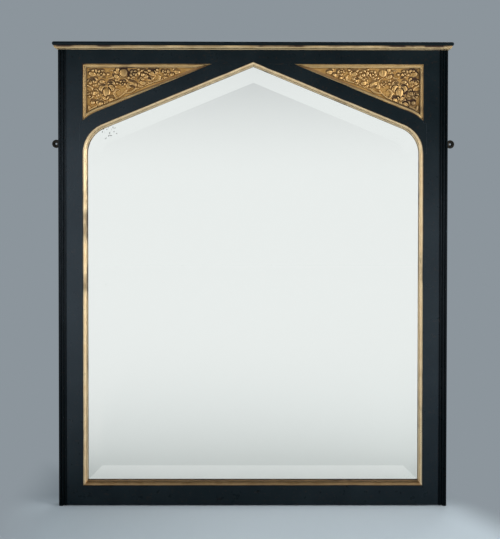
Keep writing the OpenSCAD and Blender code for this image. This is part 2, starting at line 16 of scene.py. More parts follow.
import bmesh
import bpy
import numpy as np
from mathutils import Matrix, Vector


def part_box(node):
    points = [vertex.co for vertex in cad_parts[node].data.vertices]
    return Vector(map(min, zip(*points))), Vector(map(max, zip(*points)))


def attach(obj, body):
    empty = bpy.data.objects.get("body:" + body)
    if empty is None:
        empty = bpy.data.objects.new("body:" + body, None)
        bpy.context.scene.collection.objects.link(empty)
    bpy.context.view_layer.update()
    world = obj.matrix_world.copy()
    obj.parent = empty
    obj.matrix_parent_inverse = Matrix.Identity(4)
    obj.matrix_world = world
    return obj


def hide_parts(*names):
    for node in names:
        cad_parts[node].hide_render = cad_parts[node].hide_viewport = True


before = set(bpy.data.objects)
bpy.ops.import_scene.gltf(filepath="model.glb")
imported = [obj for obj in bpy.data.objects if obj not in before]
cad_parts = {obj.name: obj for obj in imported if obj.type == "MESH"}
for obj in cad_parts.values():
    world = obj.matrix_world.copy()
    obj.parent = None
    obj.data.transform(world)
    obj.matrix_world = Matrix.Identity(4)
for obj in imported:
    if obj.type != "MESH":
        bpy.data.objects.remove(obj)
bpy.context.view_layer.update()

MM = 0.001
BODY = "root"
FRONT = (0.0, -1.0, 0.0)
QUARTER = math.pi / 2
# Each part of a unit step at 45 degrees, for a mitre.
DIAGONAL = 0.70711
# Points nearer to each other than this are merged.
WELD = 0.02 * MM

# Settings that many nodes share.
TIMES = {"operation": "MULTIPLY"}
LARGEST = {"operation": "MAXIMUM"}
COLOURS = {"data_type": "RGBA"}
SMOOTH = {"interpolation_type": "SMOOTHSTEP"}

# A place or a direction in space, one on a plane, and what adds a node to a tree.
Place = tuple[float, float, float]
Flat = tuple[float, float]
Adder = Callable[..., Any]

log = logging.getLogger("overmantel_mirror")


class Side(Enum):
    """The two sides of the frame, seen from the front."""

    LEFT = -1
    RIGHT = 1

    @property
    def word(self) -> str:
        """The side's name, as the parts' names begin."""
        return self.name.lower()


class Grain(Enum):
    """The way that the grain of a member runs, as how far a pore is drawn out on each axis."""

    UPRIGHT = (1.0, 1.0, 0.04)
    ACROSS = (0.04, 1.0, 1.0)


# ---- Small helpers ----

def linear(hex_colour: str) -> tuple[float, float, float, float]:
    """Turns an sRGB hex colour to linear light.

    Args:
        hex_colour: Six hex digits after a hash.

    Returns:
        Red, green, blue and an alpha of 1.
    """
    parts = [int(hex_colour[i:i + 2], 16) / 255 for i in (1, 3, 5)]
    light = [c / 12.92 if c <= 0.04045 else ((c + 0.055) / 1.055) ** 2.4 for c in parts]
    return (light[0], light[1], light[2], 1.0)


def add_node(tree: bpy.types.NodeTree, kind: str, *values: Any, **settings: Any) -> Any:
    """Adds a node with its settings and its links.

    Args:
        tree: The tree to add to.
        kind: The node's type, where a shader node's type goes without its first word.
        values: What its inputs get, in their order, or one table of them by name or index.
            Each is a number, a vector, a name, a hex colour, the socket that feeds the input,
            or a node's outputs, of which the first feeds it.
        settings: The node's own properties.

    Returns:
        The node's outputs.
    """
    node = tree.nodes.new(kind if "Node" in kind else "ShaderNode" + kind)
    for name, value in settings.items():
        setattr(node, name, value)
    inputs = values[0] if values and isinstance(values[0], dict) else dict(enumerate(values))
    for socket, value in inputs.items():
        if isinstance(value, bpy.types.bpy_prop_collection):
            value = value[0]
        if isinstance(value, bpy.types.NodeSocket):
            tree.links.new(value, node.inputs[socket])
        elif isinstance(value, str) and value.startswith("#"):
            node.inputs[socket].default_value = linear(value)
        else:
            node.inputs[socket].default_value = value
    return node.outputs


def turns(sweep: float, steps: int, first: int = 0) -> list[float]:
    """Gives the angles of even steps through a sweep, from the first step that is asked for."""
    return [sweep * i / steps for i in range(first, steps + 1)]


def new_object(name: str, mesh: bpy.types.Mesh) -> bpy.types.Object:
    """Makes an object at the origin and puts it in the scene.

    Args:
        name: The object's name.
        mesh: Its mesh.

    Returns:
        The object.
    """
    made = bpy.data.objects.new(name, mesh)
    bpy.context.scene.collection.objects.link(made)
    return made


def mesh_of(name: str, points: Any, faces: Any = (), edges: Any = ()) -> bpy.types.Mesh:
    """Makes a mesh from its points and its faces or edges.

    Args:
        name: The mesh's name.
        points: Where its points lie.
        faces: The points of each face.
        edges: The two points of each edge, where it has no faces.

    Returns:
        The mesh.
    """
    mesh = bpy.data.meshes.new(name)
    mesh.from_pydata(points, edges, faces)
    mesh.update()
    return mesh


def write_attribute(mesh: bpy.types.Mesh, name: str, values: Any) -> None:
    """Writes one number for each point of a mesh."""
    made = mesh.attributes.new(name, "FLOAT", "POINT")
    made.data.foreach_set("value", np.asarray(values, np.float32))


@contextmanager
def reworked(mesh: bpy.types.Mesh) -> Iterator[bmesh.types.BMesh]:
    """Opens a mesh for work, and writes it back with its faces turned outwards.

    Args:
        mesh: The mesh.

    Yields:
        The mesh, open for work.
    """
    work = bmesh.new()
    work.from_mesh(mesh)
    yield work
    bmesh.ops.recalc_face_normals(work, faces=work.faces)
    work.to_mesh(mesh)
    work.free()


def close_holes(work: bmesh.types.BMesh) -> None:
    """Closes every hole of a mesh that is open for work."""
    bmesh.ops.holes_fill(work, edges=[e for e in work.edges if e.is_boundary], sides=0)


def smooth(mesh: bpy.types.Mesh, sharp_deg: float) -> None:
    """Shades a mesh smooth, apart from edges that turn more than sharp_deg.

    Args:
        mesh: The mesh.
        sharp_deg: The turn past which an edge stays sharp.
    """
    mesh.polygons.foreach_set("use_smooth", [True] * len(mesh.polygons))
    mesh.set_sharp_from_angle(angle=math.radians(sharp_deg))
    mesh.update()


def baked(piece: bpy.types.Object) -> None:
    """Turns a piece's modifiers into plain mesh.

    Args:
        piece: The piece, which gets the plain mesh.
    """
    view = bpy.context.evaluated_depsgraph_get()
    mesh = bpy.data.meshes.new_from_object(piece.evaluated_get(view))
    piece.modifiers.clear()
    piece.data = mesh


def hand_over(piece: bpy.types.Object, slot: str, *nodes: str) -> bpy.types.Object:
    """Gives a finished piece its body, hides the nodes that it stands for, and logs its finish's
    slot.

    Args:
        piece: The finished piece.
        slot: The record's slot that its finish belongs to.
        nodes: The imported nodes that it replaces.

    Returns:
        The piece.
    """
    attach(piece, BODY)
    if nodes:
        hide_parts(*nodes)
    log.info("%s: %d faces, %s", piece.name, len(piece.data.polygons), slot)
    return piece


def dress(node: str, material: bpy.types.Material) -> None:
    """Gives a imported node, kept as it is, its finish.

    Args:
        node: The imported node.
        material: The finish.
    """
    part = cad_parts[node]
    part.data.materials.clear()
    part.data.materials.append(material)
    log.info("%s: kept, %s", node, material.name)


# ---- Layout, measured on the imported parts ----

@dataclass(frozen=True)
class Layout:
    """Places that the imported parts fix."""

    face_y: float
    back_y: float
    open_x: float
    half_w: float
    sill_z: float
    spring_z: float
    rail_z: float
    apex_z: float
    cornice_z: float

    @classmethod
    def measured(cls) -> "Layout":
        """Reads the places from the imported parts' boxes.

        Returns:
            The places.
        """
        stile_low, stile_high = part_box("right_stile")
        return cls(
            face_y=stile_low.y,
            back_y=stile_high.y,
            open_x=stile_low.x,
            half_w=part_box("right_reeded_moulding")[1].x,
            sill_z=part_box("bottom_slip")[0].z,
            spring_z=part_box("right_slip")[1].z,
            rail_z=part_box("top_rail")[0].z,
            apex_z=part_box("right_arch_slip")[1].z,
            cornice_z=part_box("cornice_front_moulding")[0].z,
        )


@dataclass(frozen=True)
class ArchLine:
    """The line of the slip's outer edge, and lines that run beside it."""

    at: Layout
    slope: float = math.radians(22.45)
    haunch_r: float = 82 * MM

    @property
    def haunch_x(self) -> float:
        """Where the haunch's centre lies across the frame."""
        return self.at.open_x - self.haunch_r

    @property
    def turn(self) -> float:
        """The angle that the haunch turns through."""
        return QUARTER - self.slope

    def haunch(self, inset: float, steps: int) -> list[Flat]:
        """Points round the right haunch, from the stile up to the slope.

        Args:
            inset: How far inside the line they lie.
            steps: The number of steps.

        Returns:
            Places across and up.
        """
        r = self.haunch_r - inset
        return [(self.haunch_x + r * math.cos(a), self.at.spring_z + r * math.sin(a))
                for a in turns(self.turn, steps)]

    def apex(self, inset: float) -> float:
        """The height of the point of the line that runs inset inside this one."""
        return self.at.apex_z - inset / math.cos(self.slope)

    def outline(self, inset: float, steps: int) -> list[Flat]:
        """The whole outline, inset inside the line, anticlockwise from the lower left.

        Args:
            inset: How far inside the line it runs.
            steps: The count of steps round each haunch.

        Returns:
            The outline's points.
        """
        x, low = self.at.open_x - inset, self.at.sill_z + inset
        right = self.haunch(inset, steps)
        left = [(-px, pz) for px, pz in reversed(right)]
        return [(-x, low), (x, low), *right, (0.0, self.apex(inset)), *left]

    def outside(self, x: Any, z: Any) -> Any:
        """How far places on the right lie above or outside the line, for arrays of places.

        Args:
            x: How far out from the middle the places lie.
            z: How high they lie.

        Returns:
            How far each lies outside, under 0 inside.
        """
        across, up = x - self.haunch_x, z - self.at.spring_z
        round_part = np.hypot(across, up) - self.haunch_r
        straight = (z - self.at.apex_z) * math.cos(self.slope) + x * math.sin(self.slope)
        on_slope = np.arctan2(up, across) > self.turn
        return np.where(on_slope, straight, round_part)


# ---- Finishes ----

@dataclass(frozen=True)
class Finish:
    """One finish of the mirror. A subclass paints it with the nodes of its material."""

    name: str

    def material(self) -> bpy.types.Material:
        """Gives the finish's material, made the first time that it is asked for.

        Returns:
            The material.
        """
        made = bpy.data.materials.get(self.name)
        if not made:
            made = bpy.data.materials.new(self.name)
            made.use_nodes = True
            made.node_tree.nodes.clear()
            add = partial(add_node, made.node_tree)
            add("OutputMaterial", self.paint(add))
        return made

    def paint(self, add: Adder) -> bpy.types.NodeSocket:
        """Adds the finish's nodes and gives the shader's socket."""
        raise NotImplementedError

    def noise(self, add: Adder, size_mm: float, detail: float = 3.0,
              stretch: Place = (1.0, 1.0, 1.0), offset: float = 0.0) -> bpy.types.NodeSocket:
        """Lays a noise over the whole mirror, with features that measure size_mm.

        Args:
            add: What adds a node to the material.
            size_mm: The features' size.
            detail: How many finer layers it has.
            stretch: The pattern's scale on each axis, under 1 where it is drawn out.
            offset: Moves the pattern, so that two of one size differ.

        Returns:
            The noise's value.
        """
        placed = add("Mapping", {"Vector": add("TexCoord")["Object"], "Scale": stretch,
                                 "Location": (offset, offset, offset)})
        return add("TexNoise", {"Vector": placed, "Scale": 1.0 / (size_mm * MM),
                                "Detail": detail, "Roughness": 0.55})["Fac"]


@dataclass(frozen=True)
class EbonisedWood(Finish):
    """Fruitwood stained black and finished with wax and shellac.

    The eye gets a soft black with a painted cool sheen, faint closed pores along the grain, dull
    dusty patches, and brown wood where an arris is rubbed through. The back is left as bare wood.
    """

    grain: Grain = Grain.UPRIGHT
    worn: float = 0.0
    sheen: float = 0.72
    # Tints the reflection blue: a painted colour of the reflected light.
    bloom: str = "#d8eaff"
    black: str = "#0c1417"
    faded: str = "#131b1e"
    rubbed: str = "#3d2a1b"
    bare: str = "#4a3524"
    bare_dark: str = "#2c1f16"
    # Real pores are about 0.1 mm wide, and are drawn this coarse to show.
    pore_mm: float = 1.1
    cloud_mm: float = 90.0
    dust_mm: float = 14.0
    chip_mm: float = 5.0
    lap_mm: float = 30.0
    lap: float = 4 * MM
    back_y: float = 26 * MM
    edge: Flat = (0.5 * MM, 1.1 * MM)
    relief: float = 0.04 * MM

    def paint(self, add: Adder) -> bpy.types.NodeSocket:
        """Adds the finish's nodes and gives the shader's socket.

        Args:
            add: What adds a node to the material.

        Returns:
            The shader's socket.
        """
        pores = self.noise(add, self.pore_mm, 2.0, self.grain.value)
        cloud = self.noise(add, self.cloud_mm, 4.0)
        dust = self.noise(add, self.dust_mm, 5.0, offset=3.1)
        nicks = self.noise(add, self.chip_mm, 4.0, offset=1.7)
        faded = add("MapRange", cloud, 0.35, 0.7)
        colour = add("Mix", {0: faded, 6: self.black, 7: self.faded}, **COLOURS)[2]
        chips = add("Math", add("MapRange", nicks, 0.62 - self.worn, 0.66), 0.25 + self.worn,
                    **TIMES)
        colour = add("Mix", {0: chips, 6: colour, 7: self.rubbed}, **COLOURS)[2]
        streaks = add("MapRange", pores, 0.3, 0.75)
        wood = add("Mix", {0: streaks, 6: self.bare, 7: self.bare_dark}, **COLOURS)[2]
        bare = self.bare_back(add)
        colour = add("Mix", {0: bare, 6: colour, 7: wood}, **COLOURS)[2]
        gloss = add("Math", add("MapRange", dust, 0.3, 0.75, 0.26, 0.38),
                    add("Math", bare, 0.3, **TIMES))
        height = add("Math", add("MapRange", pores, 0.35, 0.6), add("Math", cloud, 0.6, **TIMES))
        # Specular IOR Level carries a painted sheen, strongest between the foot and the head, and
        # on the left.
        return add("BsdfPrincipled", {
            "Base Color": colour, "Roughness": gloss, "IOR": 1.4,
            "Specular IOR Level": self.polish(add), "Specular Tint": self.bloom,
            "Normal": add("Bump", {"Height": height, "Distance": self.relief})})[0]

    def polish(self, add: Adder) -> bpy.types.NodeSocket:
        """Gives the reflection's strength, which paints the sheen: weak at the foot and the head,
        and less at the right.

        Args:
            add: What adds a node to the material.

        Returns:
            The strength of the painted sheen.
        """
        x, _, z = add("SeparateXYZ", add("TexCoord")["Object"])
        z = add("Math", z, add("MapRange", x, 0.0, 0.5, 0.0, 0.185))
        low = add("MapRange", z, 0.0, 0.5, 0.22, 1.0)
        high = add("MapRange", z, 0.9, 1.2, 1.0, 0.2)
        left = add("MapRange", x, -0.45, 0.45, 1.2, 0.84)
        return add("Math", add("Math", low, high, **TIMES),
                   add("Math", left, self.sheen, **TIMES), **TIMES)[0]

    def bare_back(self, add: Adder) -> bpy.types.NodeSocket:
        """Gives 1 on the back faces, with the black lapping over their edges unevenly.

        Args:
            add: What adds a node to the material.

        Returns:
            The share of bare wood.
        """
        y = add("SeparateXYZ", add("TexCoord")["Object"])[1]
        lap = add("Math", self.noise(add, self.lap_mm, 4.0, offset=9.0), self.lap, **TIMES)
        start, end = (self.back_y + past for past in self.edge)
        return add("MapRange", add("Math", y, lap), start, end)[0]


@dataclass(frozen=True)
class Gilding(Finish):
    """Water gilding: gold leaf on red clay over gesso, burnished on the high parts and aged.

    The eye gets warm metal, brighter where it was burnished, with brown in the hollows that is
    partly dirt and partly painted shade, red clay where the leaf is rubbed through, and the faint
    laps of the leaves along a moulding.
    """

    recess_dirt: float = 0.9
    leaf: str = "#dfc390"
    leaf_pale: str = "#f3e4c2"
    leaf_deep: str = "#bd925a"
    # The brown of real dirt, and of the painted shade in the hollows.
    dirt: str = "#38230f"
    clay: str = "#6b3420"
    patch_mm: float = 22.0
    # The gesso's real grit is about 0.2 mm, and is drawn this coarse to show.
    grit_mm: float = 1.6
    lap_mm: float = 75.0
    rough: Flat = (0.36, 0.52)
    relief: float = 0.12 * MM

    def paint(self, add: Adder) -> bpy.types.NodeSocket:
        """Adds the finish's nodes and gives the shader's socket.

        Args:
            add: What adds a node to the material.

        Returns:
            The shader's socket.
        """
        recess = add("Attribute", attribute_name="recess")["Fac"]
        crest = add("Attribute", attribute_name="crest")["Fac"]
        patches = self.noise(add, self.patch_mm, 4.0)
        grit = self.noise(add, self.grit_mm, 3.0, offset=2.3)
        age = self.noise(add, self.lap_mm, 2.0, offset=5.9)
        colour = add("Mix", {0: add("MapRange", patches, 0.3, 0.75), 6: self.leaf_deep,
                             7: self.leaf}, **COLOURS)[2]
        burnish = add("Math", crest, 0.75, **TIMES)
        rubbed = add("MapRange", add("Math", grit, patches), 1.22, 1.32)
        # Darker in the marked hollows: dirt, and painted shade.
        dirt_and_shade_in_recess = add("Math", add("Math", recess, self.recess_dirt, **TIMES),
                      add("MapRange", age, 0.3, 0.62, 0.35, 1.0), **TIMES)
        grime_and_shade = add("Math", dirt_and_shade_in_recess, add("MapRange", age, 0.58, 0.72, 0.0, 0.5))
        for share, tone in ((burnish, self.leaf_pale), (rubbed, self.clay), (grime_and_shade, self.dirt)):
            colour = add("Mix", {0: share, 6: colour, 7: tone}, **COLOURS)[2]
        dull = add("Math", rubbed, grime_and_shade, **LARGEST)
        worn = add("Math", patches, add("Math", crest, -0.35, **TIMES))
        gloss = add("Math", add("MapRange", worn, 0.1, 0.8, *self.rough),
                    add("Math", dull, 0.25, **TIMES))
        height = add("Math", grit, add("Math", patches, 0.8, **TIMES))
        return add("BsdfPrincipled", {
            "Base Color": colour, "Metallic": add("MapRange", dull, 0.0, 1.0, 1.0, 0.15),
            "Roughness": gloss,
            "Normal": add("Bump", {"Height": height, "Distance": self.relief})})[0]


@dataclass(frozen=True)
class PlateGlass(Finish):
    """Polished soda-lime plate glass. Its iron gives the faint green of an old plate."""

    tint: str = "#fbfdfc"

    def paint(self, add: Adder) -> bpy.types.NodeSocket:
        """Adds the finish's nodes and gives the shader's socket."""
        return add("BsdfPrincipled", {"Base Color": self.tint, "Roughness": 0.0, "IOR": 1.52,
                                      "Transmission Weight": 1.0})[0]


@dataclass(frozen=True)
class Silvering(Finish):
    """Silver laid on the back of the plate, aged.

    The eye gets a clean mirror with a painted highlight, a touch brighter behind the lower bevel,
    and a few dark specks of foxing at the left haunch.
    """

    silver: str = "#f7f8f8"
    silver_bright: str = "#ffffff"
    spot: str = "#2b2a22"
    speck_mm: float = 6.0
    haunch: Place = (-0.385, 0.012, 0.984)
    haunch_reach: float = 46 * MM
    bevel_z: float = 102 * MM
    mitre_at: float = 500.5 * MM

    def paint(self, add: Adder) -> bpy.types.NodeSocket:
        """Adds the finish's nodes and gives the shader's socket.

        Args:
            add: What adds a node to the material.

        Returns:
            The shader's socket.
        """
        place = add("TexCoord")["Object"]
        gap = add("VectorMath", place, self.haunch, operation="DISTANCE")["Value"]
        near = add("MapRange", gap, 0.2 * self.haunch_reach, self.haunch_reach, 1.0, 0.0)
        specks = self.noise(add, self.speck_mm, 3.0, offset=4.4)
        limit = add("MapRange", near, 0.0, 1.0, 0.78, 0.60)
        foxed = add("MapRange", add("Math", specks, limit, operation="SUBTRACT"), 0.0, 0.02)
        # The mask of a painted highlight: brighter silver behind the lower bevel, up to its
        # mitres.
        x, _, z = add("SeparateXYZ", place)
        mitre = add("Math", add("Math", x, operation="ABSOLUTE"), z)
        behind = add("Math", add("MapRange", z, self.bevel_z + 1 * MM, self.bevel_z - 1 * MM),
                     add("MapRange", mitre, self.mitre_at + 0.5 * MM, self.mitre_at - 0.5 * MM),
                     **TIMES)
        silver = add("Mix", {0: behind, 6: self.silver, 7: self.silver_bright}, **COLOURS)[2]
        colour = add("Mix", {0: foxed, 6: silver, 7: self.spot}, **COLOURS)[2]
        return add("BsdfPrincipled", {
            "Base Color": colour, "Metallic": 1.0,
            "Roughness": add("MapRange", foxed, 0.0, 1.0, 0.012, 0.4)})[0]


@dataclass(frozen=True)
class AgedPine(Finish):
    """Sawn and planed pine, gone brown with age.

    The eye gets long grain with darker late wood, and grey dirt in the pores.
    """

    early: str = "#b98c57"
    late: str = "#7c5228"
    dirt: str = "#4d3822"
    ring_mm: float = 7.0
    # Real fibres are far finer, and are drawn this coarse to show.
    fibre_mm: float = 0.9
    wander_mm: float = 160.0
    stain_mm: float = 120.0
    relief: float = 0.15 * MM

    def paint(self, add: Adder) -> bpy.types.NodeSocket:
        """Adds the finish's nodes and gives the shader's socket.

        Args:
            add: What adds a node to the material.

        Returns:
            The shader's socket.
        """
        wander = self.noise(add, self.wander_mm, 2.0, Grain.UPRIGHT.value)
        rings = self.noise(add, self.ring_mm, 3.0, (1.0, 1.0, 0.02))
        fibre = self.noise(add, self.fibre_mm, 2.0, (1.0, 1.0, 0.03))
        stain = self.noise(add, self.stain_mm, 5.0, offset=6.2)
        wavy = add("Math", rings, add("Math", wander, 0.3, **TIMES))
        colour = add("Mix", {0: add("MapRange", wavy, 0.55, 0.75), 6: self.early,
                             7: self.late}, **COLOURS)[2]
        for share in (add("MapRange", fibre, 0.5, 0.8, 0.0, 0.4),
                      add("MapRange", stain, 0.45, 0.8, 0.0, 0.7)):
            colour = add("Mix", {0: share, 6: colour, 7: self.dirt}, **COLOURS)[2]
        height = add("Math", fibre, add("Math", rings, 0.7, **TIMES))
        return add("BsdfPrincipled", {
            "Base Color": colour, "Roughness": add("MapRange", stain, 0.3, 0.7, 0.62, 0.8),
            "IOR": 1.45, "Normal": add("Bump", {"Height": height, "Distance": self.relief})})[0]


@dataclass(frozen=True)
class OldMetal(Finish):
    """Brass or steel, cast or rolled, left to darken.

    The eye gets dull metal with a brown bloom over it in patches.
    """

    bright: str = "#8c8577"
    dark: str = "#2e2a22"
    bloom: str = "#1f1c17"
    patch_mm: float = 6.0
    # The casting's real grit is about 0.2 mm, and is drawn this coarse to show.
    grit_mm: float = 0.8
    relief: float = 0.06 * MM

    def paint(self, add: Adder) -> bpy.types.NodeSocket:
        """Adds the finish's nodes and gives the shader's socket.

        Args:
            add: What adds a node to the material.

        Returns:
            The shader's socket.
        """
        patches = self.noise(add, self.patch_mm, 4.0)
        grit = self.noise(add, self.grit_mm, 2.0, offset=7.7)
        colour = add("Mix", {0: add("MapRange", patches, 0.35, 0.7), 6: self.bright,
                             7: self.dark}, **COLOURS)[2]
        bloom = add("MapRange", add("Math", patches, grit), 1.0, 1.2)
        colour = add("Mix", {0: bloom, 6: colour, 7: self.bloom}, **COLOURS)[2]
        return add("BsdfPrincipled", {
            "Base Color": colour, "Metallic": add("MapRange", bloom, 0.0, 1.0, 1.0, 0.4),
            "Roughness": add("MapRange", patches, 0.3, 0.75, 0.34, 0.6),
            "Normal": add("Bump", {"Height": grit, "Distance": self.relief})})[0]


BLACK_UPRIGHT = EbonisedWood("ebonised_wood_upright", Grain.UPRIGHT)
BLACK_ACROSS = EbonisedWood("ebonised_wood_across", Grain.ACROSS)
# A darker, duller copy of the ebonised wood for the reeds: painted shade.
BLACK_REEDS_SHADED = EbonisedWood("ebonised_reeding", Grain.UPRIGHT, sheen=0.15, black="#03080a",
                           faded="#070c0e")
BLACK_ARRIS = EbonisedWood("ebonised_wood_arris", Grain.UPRIGHT, worn=0.12, faded="#27323a")
GILDING = Gilding("water_gilding", recess_dirt=0.75, leaf="#e4cda0", leaf_pale="#f8edd4",
                  leaf_deep="#c8a472", rough=(0.42, 0.56))
# A darker copy of the slip's gilding for the bottom slip: painted shade.
GILT_FOOT_SHADED = Gilding("foot_gilding", leaf="#b3946a", leaf_pale="#cbae84", leaf_deep="#8f6b42")
GILT_CORNICE = Gilding("cornice_gilding", recess_dirt=0.85, leaf="#e8cd9c", leaf_pale="#f8e9c8",
                       leaf_deep="#caa56c")
GILT_CARVED = Gilding("carved_gilding", recess_dirt=1.05, leaf="#c8a367", leaf_pale="#dcbd8a",
                      leaf_deep="#a67d44", dirt="#361f0e", rough=(0.45, 0.6))
GILT_BORDER = Gilding("border_gilding", recess_dirt=0.8, leaf="#d8ba82", leaf_pale="#ead6ac",
                      leaf_deep="#b5925c", rough=(0.38, 0.56))
# A darker copy of the border's gilding for its upright length: painted shade.
GILT_SIDE_SHADED = Gilding("side_border_gilding", recess_dirt=0.8, leaf="#ab9166", leaf_pale="#c2aa80",
                    leaf_deep="#8f744a", rough=(0.38, 0.56))
GILT_GROUND = Gilding("gilt_ground", leaf="#b88a4b", leaf_deep="#8a5f30")
PLATE_GLASS = PlateGlass("plate_glass")
SILVERING = Silvering("silvering")
PINE = AgedPine("aged_pine")
PEG_WOOD = AgedPine("beech_pegs", early="#a9825a", late="#7d5836", ring_mm=3.0)
WALL_BRASS = OldMetal("darkened_brass", bright="#2f2c26", dark="#161412", bloom="#0f0f0e")
STEEL = OldMetal("screw_steel", bright="#8b8a86", dark="#47433c", bloom="#3a2a1d")


# ---- Geometry Nodes tools ----

class NodeTool:
    """A Geometry Nodes tree with named inputs, run once on a mesh to make a plain mesh."""

    def __init__(self, name: str, inputs: dict[str, str]) -> None:
        """Makes the tree with its inputs.

        Args:
            name: The tree's name.
            inputs: The kind of socket for each input's name.
        """
        self.tree = bpy.data.node_groups.new(name, "GeometryNodeTree")
        self.add = partial(add_node, self.tree)
        face = self.tree.interface
        face.new_socket("Geometry", in_out="INPUT", socket_type="NodeSocketGeometry")
        for label, kind in inputs.items():
            face.new_socket(label, in_out="INPUT", socket_type="NodeSocket" + kind)
        face.new_socket("Geometry", in_out="OUTPUT", socket_type="NodeSocketGeometry")
        self.given = self.add("NodeGroupInput")
        self.wire()

    def wire(self) -> None:
        """Adds the tree's nodes, from the group's inputs to its output."""
        raise NotImplementedError

    def close(self, geometry: Any) -> None:
        """Ends the tree: real geometry, with its finish.

        Args:
            geometry: What the tree has made.
        """
        real = self.add("GeometryNodeRealizeInstances", geometry)
        finished = self.add("GeometryNodeSetMaterial", {
            "Geometry": real, "Material": self.given["Material"]})
        self.add("NodeGroupOutput", finished)

    def run(self, name: str, base: bpy.types.Mesh, values: dict[str, Any]) -> bpy.types.Object:
        """Makes a piece.

        Args:
            name: The piece's name.
            base: The mesh that the tree starts from.
            values: The value of each input.

        Returns:
            The piece, a plain mesh without modifiers.
        """
        piece = new_object(name, base)
        modifier = piece.modifiers.new("made", "NODES")
        modifier.node_group = self.tree
        for item in self.tree.interface.items_tree:
            if item.in_out == "INPUT" and item.name in values:
                modifier[item.identifier] = values[item.name]
        baked(piece)
        return piece


class MouldingTool(NodeTool):
    """Runs a section along a path, and trims both ends to mitre planes."""

    heading: str = "heading"
    on_plane: float = -1e-7

    def __init__(self) -> None:
        """Makes the tree."""
        super().__init__("run_of_moulding", {
            "Section": "Object", "Front": "Vector", "Start Point": "Vector",
            "Start Normal": "Vector", "End Point": "Vector", "End Normal": "Vector",
            "Material": "Material"})

    def wire(self) -> None:
        """Adds the tree's nodes, from the group's inputs to its output."""
        path = self.add("GeometryNodeMeshToCurve", self.given["Geometry"])
        facing = self.add("GeometryNodeSetCurveNormal", {
            "Curve": path, "Normal": self.given["Front"]}, mode="FREE")
        marked = self.add("GeometryNodeStoreNamedAttribute", {
            "Geometry": facing, "Name": self.heading,
            "Value": self.add("GeometryNodeInputTangent")},
            data_type="FLOAT_VECTOR", domain="POINT")
        drawn = self.add("GeometryNodeObjectInfo", {"Object": self.given["Section"]})
        section = self.add("GeometryNodeMeshToCurve", drawn["Geometry"])
        swept = self.add("GeometryNodeCurveToMesh", {"Curve": marked, "Profile Curve": section})
        for end in ("Start", "End"):
            swept = self.trim(swept, self.given[end + " Point"], self.given[end + " Normal"])
        self.close(swept)

    def trim(self, geometry: Any, point: bpy.types.NodeSocket, normal: bpy.types.NodeSocket
             ) -> Any:
        """Cuts away what lies past a plane, and slides the cut end on to the plane.

        Args:
            geometry: The swept moulding.
            point: A point of the plane.
            normal: The plane's normal, away from the moulding.

        Returns:
            The trimmed geometry.
        """
        offset = self.add("VectorMath", self.add("GeometryNodeInputPosition"), point,
                          operation="SUBTRACT")
        past = self.add("VectorMath", offset, normal, operation="DOT_PRODUCT")["Value"]
        beyond = self.add("FunctionNodeCompare", past, self.on_plane, data_type="FLOAT",
                          operation="GREATER_THAN")
        cut = self.add("GeometryNodeDeleteGeometry", {
            "Geometry": geometry, "Selection": beyond}, domain="FACE", mode="ALL")
        heading = self.add("GeometryNodeInputNamedAttribute", {"Name": self.heading},
                           data_type="FLOAT_VECTOR")["Attribute"]
        lean = self.add("VectorMath", heading, normal, operation="DOT_PRODUCT")["Value"]
        slide = self.add("Math", past, lean, operation="DIVIDE")
        step = self.add("VectorMath", {0: heading, "Scale": self.add("Math", slide, -1.0,
                                                                     **TIMES)},
                        operation="SCALE")
        return self.add("GeometryNodeSetPosition", {
            "Geometry": cut, "Selection": beyond, "Offset": step})


class ScatterTool(NodeTool):
    """Sets a copy of a pattern piece on each point, turned to the point's aim."""

    def __init__(self) -> None:
        """Makes the tree."""
        super().__init__("set_on_points", {
            "Pattern": "Object", "Spin": "Float", "Seed": "Int", "Material": "Material"})

    def wire(self) -> None:
        """Adds the tree's nodes, from the group's inputs to its output."""
        aim = self.add("GeometryNodeInputNamedAttribute", {"Name": "aim"},
                       data_type="FLOAT_VECTOR")["Attribute"]
        turned = self.add("FunctionNodeAlignRotationToVector", {"Vector": aim}, axis="Z")
        spin = self.add("FunctionNodeRandomValue", {
            2: 0.0, 3: self.given["Spin"], "Seed": self.given["Seed"]}, data_type="FLOAT")[1]
        about = self.add("FunctionNodeAxisAngleToRotation", {
            "Axis": (0.0, 0.0, 1.0), "Angle": spin})
        both = self.add("FunctionNodeRotateRotation", {
            "Rotation": turned, "Rotate By": about}, rotation_space="LOCAL")
        pattern = self.add("GeometryNodeObjectInfo", {"Object": self.given["Pattern"]})
        self.close(self.add("GeometryNodeInstanceOnPoints", {
            "Points": self.given["Geometry"], "Instance": pattern["Geometry"],
            "Rotation": both}))


# ---- Mouldings ----

MOULDING_SHARP_DEG = 32


